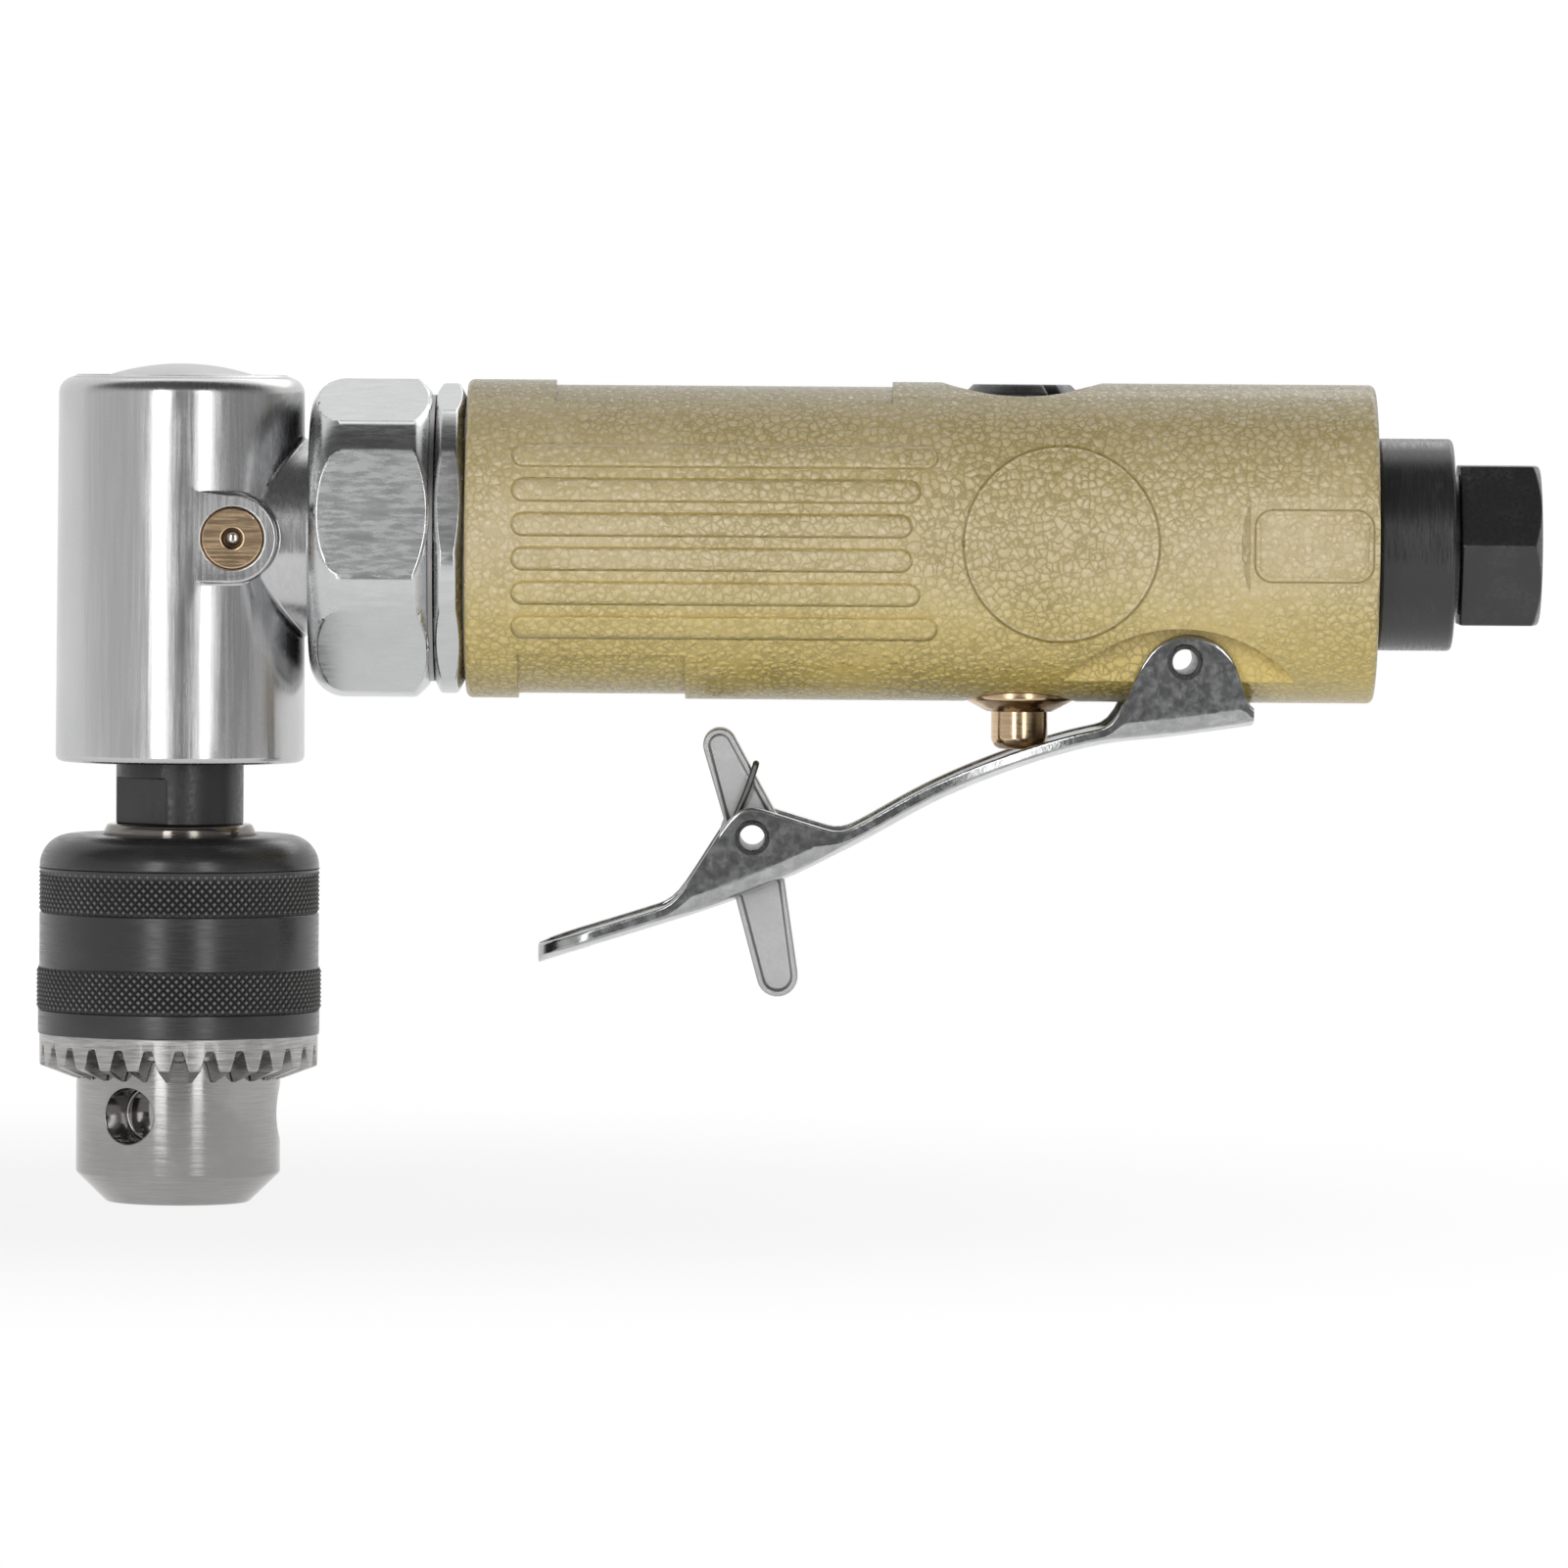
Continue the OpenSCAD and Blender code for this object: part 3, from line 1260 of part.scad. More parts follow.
module exhaust_sleeve() {
    rear_wall = 1.8;
    ports = 10;
    color("#1e1e20") difference() {
        union() {
            along(body_end + 0.2) round_bar(exhaust_r, exhaust_len, 0.6);
            bar(rear_seat + 0.2, body_end + past, exhaust_d - 1.6);
        }
        bar(rear_seat - past, exhaust_end - rear_wall, 2 * (exhaust_r - exhaust_wall));
        bar(rear_seat, exhaust_end + past, inlet_neck_d + 2 * clear);
        for (i = [0:ports - 1]) along(exhaust_end - rear_wall - past) rotate((i + 0.5) * 360 / ports)
            translate([exhaust_duct_y + 0.4, 0, 0]) cylinder(h = rear_wall + 2 * past, d = 1.6);
    }
}

module silencer() {
    color("#6b6a64") ring(body_end + 0.4, exhaust_end - 2, 2 * (exhaust_r - exhaust_wall) - 0.2, inlet_neck_d + 0.4);
}

module inlet_bushing() {
    r = inlet_af / cos(30) / 2;
    stem = rear_seat - inlet_stem;
    color("#232325") difference() {
        union() {
            bar(stem, rear_seat, inlet_thread_d);
            bar(rear_seat, hex_x, inlet_neck_d);
            intersection() {
                along(hex_x) rotate(30) cylinder(h = inlet_hex_len, r = r, $fn = 6);
                along(hex_x) rotate_extrude() polygon([
                    [0, 0], [r - 0.3, 0], [r, 0.3], [r, inlet_hex_len - 1], [r - 1.8, inlet_hex_len], [0, inlet_hex_len]
                ]);
            }
        }
        bar(stem - past, inlet_end, air_passage_d);
        bar(inlet_end - inlet_depth, inlet_end + past, inlet_bore);
        bar(inlet_end - inlet_depth - 1, inlet_end, inlet_bore - 0.9);
        along(inlet_end - 0.8) cylinder(h = 0.8 + play, d1 = inlet_bore, d2 = inlet_bore + 1.6);
        along(stem + 2) difference() {
            cylinder(h = 1.8, d = inlet_thread_d + past);
            translate([0, 0, -past]) cylinder(h = 1.8 + 2 * past, d = inlet_thread_d - 2.6);
        }
    }
}

module inlet_screen() {
    hole = 1.5;
    color("#b5b5b8") along(inlet_end - inlet_depth - 1) difference() {
        cylinder(h = 0.8, d = inlet_bore - 1);
        for (i = [0:5]) rotate(i * 60) translate([hole * 1.5, 0, -past]) cylinder(h = 3, d = hole);
        translate([0, 0, -past]) cylinder(h = 3, d = hole);
    }
}

module inlet_seal() {
    wire = 1.2;
    color("#151515") along(rear_seat - inlet_stem + 2.9) rotate_extrude()
        translate([inlet_thread_d / 2 - wire / 2 - play, 0]) circle(d = wire);
}

chuck_body();
chuck_sleeve();
chuck_nut();
chuck_jaw(0);  // chuck_jaw_1
chuck_jaw(1);  // chuck_jaw_2
chuck_jaw(2);  // chuck_jaw_3
spindle();
bevel_gear();
spindle_bearing_outer();
spindle_bearing_inner();
spindle_top_bush();
bearing_retainer();
head_housing();
head_cap();
grease_fitting();
grease_ball();
coupling_nut();
lock_ring();
gear_case();
ring_gear();
bevel_pinion();
pinion_bearing_outer();
pinion_bearing_inner();
planet_carrier();
carrier_bearing_outer();
carrier_bearing_inner();
planet_pins();
planet_gear(0);  // planet_gear_1
planet_gear(1);  // planet_gear_2
planet_gear(2);  // planet_gear_3
sun_gear();
rotor();
rotor_vanes();
motor_cylinder();
front_end_plate();
rear_end_plate();
front_rotor_bearing_outer();
front_rotor_bearing_inner();
rear_rotor_bearing_outer();
rear_rotor_bearing_inner();
motor_dowel();
handle_body();
valve_bushing();
throttle_button();
throttle_valve();
throttle_spring();
regulator_screw();
regulator_seal();
throttle_lever();
lever_pin();
safety_catch();
catch_pin();
catch_spring();
exhaust_sleeve();
silencer();
inlet_bushing();
inlet_screen();
inlet_seal();
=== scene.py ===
"""Dresses a right-angle air drill: finishes, knurls, wound springs and a plain studio stage."""

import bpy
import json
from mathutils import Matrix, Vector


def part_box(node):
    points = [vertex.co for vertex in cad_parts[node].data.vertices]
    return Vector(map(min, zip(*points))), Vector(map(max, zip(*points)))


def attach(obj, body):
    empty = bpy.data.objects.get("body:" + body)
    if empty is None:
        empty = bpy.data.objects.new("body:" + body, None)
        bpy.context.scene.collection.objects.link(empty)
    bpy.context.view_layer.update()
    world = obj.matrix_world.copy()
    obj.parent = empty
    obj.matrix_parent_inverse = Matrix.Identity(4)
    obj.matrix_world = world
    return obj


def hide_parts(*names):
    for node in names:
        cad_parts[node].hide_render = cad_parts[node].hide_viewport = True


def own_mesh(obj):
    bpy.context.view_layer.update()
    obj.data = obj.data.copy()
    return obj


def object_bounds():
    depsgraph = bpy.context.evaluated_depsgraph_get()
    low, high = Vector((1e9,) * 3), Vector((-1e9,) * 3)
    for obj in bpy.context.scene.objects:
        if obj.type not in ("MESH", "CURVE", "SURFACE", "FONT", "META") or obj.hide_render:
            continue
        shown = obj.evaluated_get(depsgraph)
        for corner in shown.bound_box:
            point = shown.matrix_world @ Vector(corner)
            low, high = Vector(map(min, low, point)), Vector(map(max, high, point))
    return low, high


bl_info = {
    "name": "Right-angle air drill",
    "version": (1, 0, 0),
    "blender": (4, 5, 0),
    "location": "3D View > Sidebar > Air drill",
    "description": "Finishes the pieces of a right-angle air drill and sets up its stage",
    "category": "Object",
}

import json
import math

import bpy
from bpy.props import FloatProperty, FloatVectorProperty, IntProperty, PointerProperty
from mathutils import Matrix, Vector

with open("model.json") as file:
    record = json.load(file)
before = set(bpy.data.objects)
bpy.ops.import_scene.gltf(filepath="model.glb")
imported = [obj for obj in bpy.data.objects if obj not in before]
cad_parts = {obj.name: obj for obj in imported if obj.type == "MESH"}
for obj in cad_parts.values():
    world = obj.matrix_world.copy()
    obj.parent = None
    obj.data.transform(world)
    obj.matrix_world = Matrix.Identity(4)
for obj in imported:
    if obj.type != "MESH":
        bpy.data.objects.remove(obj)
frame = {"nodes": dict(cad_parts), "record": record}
CAD_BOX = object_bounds()
MM = 0.001

# Places taken from the frame
BODY_LOW, BODY_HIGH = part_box("handle_body")
AXIS_Z = (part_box("exhaust_sleeve")[0].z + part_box("exhaust_sleeve")[1].z) / 2
SLEEVE_LOW, SLEEVE_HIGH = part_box("chuck_sleeve")
CATCH_PIN_LOW, CATCH_PIN_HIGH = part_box("catch_pin")
CATCH_PIN = (CATCH_PIN_LOW + CATCH_PIN_HIGH) / 2
SPRING_LOW, SPRING_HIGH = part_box("throttle_spring")


def colour(text, words, rgb):
    """A colour that a user can change."""
    return FloatVectorProperty(
        name=text, description=words, subtype="COLOR", size=3, min=0, max=1, default=rgb)


def length(text, words, mm):
    """A length that a user can change, given in millimetres."""
    return FloatProperty(
        name=text, description=words, subtype="DISTANCE", unit="LENGTH", min=0, precision=5,
        default=mm * MM)


class DrillColours(bpy.types.PropertyGroup):
    """Colours of the finishes."""

    paint: colour("Paint", "Raised cells of the hammered paint", (0.62, 0.52, 0.325))
    paint_line: colour("Paint lines", "Fine lines between the cells", (0.27, 0.215, 0.060))
    alloy: colour("Head alloy", "Machined aluminium of the head", (0.58, 0.58, 0.585))
    chrome: colour("Chrome", "Plated nuts and lever", (0.64, 0.645, 0.65))
    steel: colour("Steel", "Bare turned steel", (0.50, 0.49, 0.48))
    oxide: colour("Black oxide", "Blackened steel", (0.020, 0.020, 0.0205))
    brass: colour("Brass", "Turned brass", (0.68, 0.495, 0.315))
    cast: colour("Die casting", "Matte grey die casting", (0.52, 0.52, 0.52))


class DrillSizes(bpy.types.PropertyGroup):
    """Sizes of the modelled details."""

    edge: length("Edge", "Break on the machined edges", 0.18)
    knurl_depth: length("Knurl depth", "Height of a knurl's points", 0.3)
    knurl_low_start: length("Lower knurl start", "Height of the lower knurl above the sleeve's edge", 8.2)
    knurl_low_end: length("Lower knurl end", "Top of the lower knurl above the sleeve's edge", 13.3)
    knurl_high_start: length("Upper knurl start", "Height of the upper knurl above the sleeve's edge", 19.8)
    knurl_high_end: length("Upper knurl end", "Top of the upper knurl above the sleeve's edge", 25.1)
    knurl_low_sink: length("Lower knurl sink", "Root of the lower knurl under the widest band", 0.09)
    knurl_high_sink: length("Upper knurl sink", "Root of the upper knurl under the widest band", 0.36)
    knurl_points: IntProperty(name="Knurl points", description="Points round a knurl", min=40, default=104)
    bright_band: length("Bright band", "Height of the bare steel band above the sleeve's edge", 5.4)
    rib_width: length("Rib width", "Width of a grip rib", 2.2)
    rib_pitch: length("Rib pitch", "Spacing of the grip ribs", 4.06)
    rib_start: length("Rib start", "Start of the ribs behind the handle's front", 5.8)
    rib_arc: length("Rib arc", "Radius of the arc on which the ribs end", 18.0)
    outline_from_front: length("Outline", "Middle of the round outline behind the handle's front", 70.5)
    outline_width: length("Outline width", "Across the round outline on the handle's side", 23.15)
    panel_width: length("Panel width", "Length of the frame on the rear side panel", 13.9)
    panel_height: length("Panel height", "Height of that frame", 8.4)
    panel_corner: length("Panel corner", "Corner radius of that frame", 2.0)
    panel_from_rear: length("Panel place", "Middle of that frame before the handle's rear", 7.75)
    button_travel: length("Button travel", "How far the lever presses the button in", 2.4)
    lever_sheet: length("Lever sheet", "Thickness of the lever's sheet", 1.3)
    lever_ear: length("Lever ears", "Thickness of the lever's ears", 1.5)
    lever_bend: length("Lever bend", "Outer radius where an ear is bent up", 1.9)
    lever_crown: length("Lever crown", "Rise of the lever's edges over its middle", 0.9)
    lever_half: length("Lever half width", "Half the lever's width under the fingers", 9.0)
    pivot_half: length("Pivot half width", "Half the lever's width at its pivot", 11.45)
    window_half: length("Window half width", "Half the width of the window for the catch", 4.0)
    catch_wire: length("Catch wire", "Wire of the catch spring", 0.8)
    throttle_wire: length("Throttle wire", "Wire of the throttle spring", 0.8)


class DrillStage(bpy.types.PropertyGroup):
    """Camera and studio."""

    distance: length("Distance", "From the camera to the object", 1500)
    picture: length("Picture", "Real width of the picture at the object", 187.3)
    elevation: FloatProperty(
        name="Elevation", description="Camera above the horizon", subtype="ANGLE", default=math.radians(2))
    roll: FloatProperty(
        name="Roll", description="Turn of the picture", subtype="ANGLE", default=math.radians(0.4))


# Small helpers for shader trees

def feed(socket, value):
    """Gives an input a value, or links it to another node's output."""
    if isinstance(value, bpy.types.NodeSocket):
        socket.id_data.links.new(value, socket)
    else:
        socket.default_value = value


def fit(node, **values):
    """Gives a node its settings and inputs by name."""
    for key, value in values.items():
        if hasattr(node, key):
            setattr(node, key, value)
        else:
            feed(node.inputs[key.replace("_", " ")], value)
    return node


def put(tree, kind, **values):
    """Adds a node with its settings and inputs."""
    return fit(tree.nodes.new(kind), **values)


def maths(operation, *values):
    """A math node fed by numbers and at least one socket."""
    trees = [value.id_data for value in values if isinstance(value, bpy.types.NodeSocket)]
    node = put(trees[0], "ShaderNodeMath", operation=operation)
    for socket, value in zip(node.inputs, values):
        feed(socket, value)
    return node.outputs[0]


def hypot(a, b):
    """The distance from two of its sides."""
    return maths("SQRT", maths("ADD", maths("POWER", a, 2.0), maths("POWER", b, 2.0)))


def remap(value, low, high, to_low=0.0, to_high=1.0):
    """Maps a range to another, smoothly and held at its ends."""
    node = put(value.id_data, "ShaderNodeMapRange", interpolation_type="SMOOTHSTEP", Value=value,
               From_Min=low, From_Max=high, To_Min=to_low, To_Max=to_high)
    return node.outputs["Result"]


def blend(mask, a, b):
    """Mixes two colours, each a socket or a tuple."""
    node = put(mask.id_data, "ShaderNodeMix", data_type="RGBA", Factor=mask)
    for name, value in (("A", a), ("B", b)):
        socket = [s for s in node.inputs if s.name == name and s.type == "RGBA"][0]
        feed(socket, value if isinstance(value, bpy.types.NodeSocket) else (*value[:3], 1))
    return [s for s in node.outputs if s.type == "RGBA"][0]


def mix_shaders(share, first, second):
    """Mixes two shader nodes, all of the second where the share is one."""
    node = put(share.id_data, "ShaderNodeMixShader")
    for socket, source in zip(node.inputs, (share, first.outputs[0], second.outputs[0])):
        feed(socket, source)
    return node.outputs[0]


def group_of(name, inputs, outputs):
    """A new shader node group with its sockets, and the nodes at its two ends."""
    tree = bpy.data.node_groups.new(name, "ShaderNodeTree")
    for text, kind, default in inputs:
        socket = tree.interface.new_socket(text, in_out="INPUT", socket_type=kind)
        socket.default_value = default
    for text in outputs:
        tree.interface.new_socket(text, in_out="OUTPUT", socket_type="NodeSocketFloat")
    return tree, tree.nodes.new("NodeGroupInput"), tree.nodes.new("NodeGroupOutput")


def grain_group():
    """Streaks: noise drawn out along one direction, and broad blotches."""
    tree, start, end = group_of(
        "Streaks and blotches",
        [("Stretch", "NodeSocketVector", (1, 1, 1)), ("Fineness", "NodeSocketFloat", 1500.0),
         ("Blotch size", "NodeSocketFloat", 90.0)],
        ["Streaks", "Blotches"])
    place = put(tree, "ShaderNodeTexCoord").outputs["Object"]
    drawn = put(tree, "ShaderNodeVectorMath", operation="MULTIPLY")
    feed(drawn.inputs[0], place)
    feed(drawn.inputs[1], start.outputs["Stretch"])
    streaks = put(tree, "ShaderNodeTexNoise", Vector=drawn.outputs[0], Scale=start.outputs["Fineness"],
                  Detail=5.0, Roughness=0.65)
    blotches = put(tree, "ShaderNodeTexNoise", Vector=place, Scale=start.outputs["Blotch size"],
                   Detail=4.0, Roughness=0.6)
    fit(end, Streaks=streaks.outputs["Fac"], Blotches=blotches.outputs["Fac"])
    return tree


def hammer_group():
    """Hammered paint: uneven cells, the lines between them and each cell's own tone."""
    tree, start, end = group_of(
        "Hammered cells", [("Cells per metre", "NodeSocketFloat", 960.0)], ["Lines", "Dome", "Tone"])
    place = put(tree, "ShaderNodeTexCoord").outputs["Object"]
    waver = put(tree, "ShaderNodeTexNoise", Vector=place, Scale=1300.0, Detail=3.0)
    shift = put(tree, "ShaderNodeVectorMath", operation="MULTIPLY_ADD")
    for socket, value in zip(shift.inputs, (waver.outputs["Color"], (0.0008, 0.0008, 0.0008), place)):
        feed(socket, value)
    edge = put(tree, "ShaderNodeTexVoronoi", feature="DISTANCE_TO_EDGE")
    tone = put(tree, "ShaderNodeTexVoronoi", feature="F1")
    pebble = put(tree, "ShaderNodeTexVoronoi", feature="SMOOTH_F1", Smoothness=0.4)
    for cells in (edge, tone, pebble):
        fit(cells, Vector=shift.outputs[0], Scale=start.outputs["Cells per metre"])
    split = put(tree, "ShaderNodeSeparateColor", Color=tone.outputs["Color"])
    fit(end, Lines=remap(edge.outputs["Distance"], 0.0, 0.2, 0.85, 0.0),
        Dome=remap(pebble.outputs["Distance"], 0.05, 0.6, 1.0, 0.0), Tone=split.outputs[0])
    return tree


GROUPS = {}


def use_group(tree, name):
    """Places a shared group in a material, building it the first time."""
    makers = {"grain": grain_group, "hammer": hammer_group}
    if name not in GROUPS:
        GROUPS[name] = makers[name]()
    node = tree.nodes.new("ShaderNodeGroup")
    node.node_tree = GROUPS[name]
    return node


def grain_of(tree, stretch=(1, 1, 1), fineness=1500.0, blotch=90.0):
    """Places the streaks and blotches in a material, as their output sockets."""
    return fit(use_group(tree, "grain"), Stretch=stretch, Fineness=fineness, Blotch_size=blotch).outputs


def spot_of(tree, kind="Object"):
    """The place on the piece, or the way into the world, as its X, Y and Z sockets."""
    place = put(tree, "ShaderNodeTexCoord").outputs[kind]
    return put(tree, "ShaderNodeSeparateXYZ", Vector=place).outputs


def tint(base, share):
    """A colour times one number, or times a number for each channel."""
    shares = share if isinstance(share, tuple) else (share,) * 3
    return tuple(min(1, c * f) for c, f in zip(base, shares))


def blank(name, metallic, roughness, specular=0.5):
    """A material with an empty Principled shader."""
    mat = bpy.data.materials.new(name)
    mat.use_nodes = True
    shader = mat.node_tree.nodes["Principled BSDF"]
    fit(shader, Metallic=metallic, Roughness=roughness, Specular_IOR_Level=specular)
    return mat, mat.node_tree, shader


def bump(shader, height, distance, strength=1.0):
    """Feeds a height into the shader's normal."""
    node = put(shader.id_data, "ShaderNodeBump", Height=height, Strength=strength, Distance=distance)
    fit(shader, Normal=node.outputs["Normal"])


def metal(name, base, stretch, fineness, roughness, depth, darker=0.72, blotch=90.0, spread=0.12):
    """A metal with drawn-out tool marks, broad tone changes and uneven gloss."""
    mat, tree, shader = blank(name, 1.0, roughness)
    grain = grain_of(tree, stretch, fineness, blotch)
    marks = remap(grain["Streaks"], 0.32, 0.68)
    broad = remap(grain["Blotches"], 0.35, 0.65)
    dim = tint(base, darker)
    tone = blend(maths("MULTIPLY_ADD", marks, 0.55, 0.45), dim, base)
    shaded = blend(maths("MULTIPLY", broad, 0.35), tone, dim)
    mixed = maths("ADD", maths("MULTIPLY", marks, 0.6), maths("MULTIPLY", broad, 0.4))
    uneven = remap(mixed, 0.0, 1.0, roughness - spread / 2, roughness + spread / 2)
    fit(shader, Base_Color=shaded, Roughness=uneven)
    bump(shader, grain["Streaks"], depth)
    return mat


def painted(name, colours, foot=None):
    """Hammered paint: pale cells and darker lines, with a painted highlight on each cell, painted light on
    the underside, painted shade on the top, and a painted highlight over and painted shade under the ribs.
    """
    sizes = bpy.context.scene.drill_sizes
    mat, tree, shader = blank(name, 0.0, 0.34)
    cells = use_group(tree, "hammer").outputs
    blotches = grain_of(tree, blotch=38.0)["Blotches"]
    x, y, z = spot_of(tree)

    def stripe(distance, at, core, fade, strength):
        """A soft line where a distance has a value; its half widths are in millimetres."""
        away = maths("ABSOLUTE", maths("SUBTRACT", distance, at))
        return remap(away, core * MM, fade * MM, strength, 0.0)

    pale = tint(colours.paint, 1.13)
    deep = tint(colours.paint, (0.90, 0.88, 0.70))
    painted_highlight = tint(colours.paint, (1.30, 1.32, 1.5))
    painted_underside_light = tint(colours.paint, (1.28, 1.16, 0.43))
    painted_top_shade = tint(colours.paint, (0.72, 0.68, 0.55))
    face = blend(remap(cells["Tone"], 0.0, 1.0, 0.4, 0.9), deep, pale)
    # Painted highlight in the middle of each cell
    face = blend(remap(cells["Dome"], 0.5, 1.0, 0.0, 0.5), face, painted_highlight)
    # Painted light from below: lighter and more golden towards the bottom
    face = blend(remap(z, BODY_LOW.z, AXIS_Z, 0.85, 0.0), face, painted_underside_light)
    # Painted shade on the top: darker towards the top
    crest = AXIS_Z + 0.35 * (BODY_HIGH.z - AXIS_Z)
    face = blend(remap(z, crest, BODY_HIGH.z, 0.0, 0.7), face, painted_top_shade)
    face = blend(remap(blotches, 0.35, 0.7, 0.0, 0.25), face, deep)
    lines = maths("MULTIPLY", cells["Lines"], remap(blotches, 0.3, 0.6, 0.25, 0.8))
    # Round outline on the grip: painted shade in its groove, and a painted highlight on its inner edge
    up = maths("SUBTRACT", z, AXIS_Z)
    ring = hypot(maths("SUBTRACT", x, BODY_LOW.x + sizes.outline_from_front), up)
    outline = sizes.outline_width / 2
    lines = maths("MAXIMUM", lines, stripe(ring, outline, 0.05, 0.22, 0.95))
    face = blend(stripe(ring, outline - 0.26 * MM, 0.04, 0.2, 0.75), face, painted_highlight)
    # Painted shade along the frame of the side panel, on the near side only: distance to a box with round
    # corners
    corner = sizes.panel_corner
    spread = maths("ABSOLUTE", maths("SUBTRACT", x, BODY_HIGH.x - sizes.panel_from_rear))
    spread = maths("SUBTRACT", spread, sizes.panel_width / 2 - corner)
    rise = maths("SUBTRACT", maths("ABSOLUTE", up), sizes.panel_height / 2 - corner)
    outside = hypot(maths("MAXIMUM", spread, 0.0), maths("MAXIMUM", rise, 0.0))
    inside = maths("MINIMUM", maths("MAXIMUM", spread, rise), 0.0)
    rim = stripe(maths("ADD", outside, inside), corner + 0.06 * MM, 0.05, 0.24, 1.0)
    near_side = remap(y, -1 * MM, 0.0, 0.8, 0.0)
    lines = maths("MAXIMUM", lines, maths("MULTIPLY", rim, near_side))
    if foot:
        # A painted highlight over the upper half of a rib and painted shade under its lower half
        share = maths("FRACT", maths("DIVIDE", up, sizes.rib_pitch))
        rib_flank = maths("SUBTRACT", 1.0, remap(hypot(y, up), foot, foot + 0.35 * MM))
        painted_rib_highlight = tint(colours.paint, (0.95, 0.84, 0.42))
        face = blend(maths("MULTIPLY", rib_flank, remap(share, 0.45, 0.55)), face, painted_rib_highlight)
        # Painted shade on the lower half of the rib, drawn in the line colour
        under = maths("MULTIPLY", rib_flank, remap(share, 0.45, 0.55, 0.85, 0.1))
        lines = maths("MAXIMUM", lines, under)
    uneven = remap(cells["Lines"], 0.0, 1.0, 0.26, 0.45)
    fit(shader, Base_Color=blend(lines, face, colours.paint_line), Roughness=uneven)
    fit(shader, Coat_Weight=0.25, Coat_Roughness=0.12)
    bump(shader, cells["Dome"], 0.00016, 0.9)
    return mat


def oxide(name, base, roughness, stretch=(1, 1, 1)):
    """Blackened steel: nearly black, satin, with faint brown and bare patches."""
    mat, tree, shader = blank(name, 0.0, roughness, 0.6)
    grain = grain_of(tree, stretch, 1800.0, 130.0)
    bare = tuple(min(1, c * 3.2 + 0.012) for c in base)
    rub = remap(grain["Blotches"], 0.48, 0.78, 0.0, 0.7)
    rub = maths("MULTIPLY", rub, remap(grain["Streaks"], 0.35, 0.65))
    uneven = remap(grain["Streaks"], 0.3, 0.7, roughness - 0.08, roughness + 0.1)
    fit(shader, Base_Color=blend(rub, base, bare), Roughness=uneven)
    bump(shader, grain["Streaks"], 0.00001, 0.6)
    return mat


def sleeve_finish(colours, split_z):
    """The chuck's sleeve: blackened above, bare turned steel on the key teeth below."""
    mat, tree, shader = blank("chuck sleeve black and bare", 1.0, 0.3, 0.6)
    grain = grain_of(tree, (0.15, 0.15, 2.5))
    waver = maths("MULTIPLY_ADD", grain["Blotches"], 0.4 * MM, -0.2 * MM)
    level = maths("ADD", spot_of(tree)["Z"], waver)
    black = remap(level, split_z - 0.12 * MM, split_z + 0.12 * MM)
    dim = tint(colours.steel, 0.55)
    bright = blend(remap(grain["Streaks"], 0.3, 0.7), dim, colours.steel)
    soft = tuple(c * 2.2 + 0.004 for c in colours.oxide)
    dark = blend(remap(grain["Blotches"], 0.4, 0.8), colours.oxide, soft)
    uneven = remap(grain["Streaks"], 0.3, 0.7, 0.22, 0.34)
    bare = maths("SUBTRACT", 1.0, black)
    fit(shader, Base_Color=blend(black, bright, dark), Metallic=bare, Roughness=uneven)
    bump(shader, grain["Streaks"], 0.000004, 0.5)
    return mat


def body_finish(colours, split_z):
    """The chuck's body: bright turned nose, browner collar above the sleeve."""
    nose = tint(colours.steel, 0.74)
    mat = metal("turned chuck steel", nose, (0.12, 0.12, 3.0), 1700, 0.13, 0.000003, 0.7, 110, 0.12)
    tree = mat.node_tree
    shader = tree.nodes["Principled BSDF"]
    collar = remap(spot_of(tree)["Z"], split_z - 4 * MM, split_z - 2 * MM, 0.0, 0.85)
    tone = shader.inputs["Base Color"].links[0].from_socket
    brown = tint(colours.steel, (0.36, 0.33, 0.30))
    fit(shader, Base_Color=blend(collar, tone, brown))
    return mat


def knurl_finish(colours, inner, outer):
    """Blackened knurl: rougher and darker in the grooves, the darkness painted shade; glossier and lighter
    on the points, which are rubbed and carry a painted highlight.
    """
    mat, tree, shader = blank("rubbed knurl", 0.0, 0.3, 0.6)
    x, y, _ = spot_of(tree)
    rubbed = remap(hypot(x, y), inner + 0.25 * (outer - inner), outer)
    uneven = remap(grain_of(tree, blotch=160.0)["Blotches"], 0.3, 0.7, 0.55, 1.0)
    # Painted shade makes the grooves darker than the oxide itself; the points are lighter from wear and
    # from a painted highlight
    deep, worn_and_lit = tint(colours.oxide, 0.45), tint(colours.oxide, 15)
    face = blend(maths("MULTIPLY", rubbed, uneven), deep, worn_and_lit)
    fit(shader, Base_Color=face, Roughness=remap(rubbed, 0.0, 1.0, 0.5, 0.24))
    return mat


def soft_stuff(name, base, fineness, roughness):
    """Rubber, felt or laminate: matte, with a fine uneven grain."""
    mat, tree, shader = blank(name, 0.0, roughness)
    grain = grain_of(tree, fineness=fineness)["Streaks"]
    fit(shader, Base_Color=blend(grain, tint(base, 0.6), base))
    bump(shader, grain, 0.00004)
    return mat


FINISH = {}


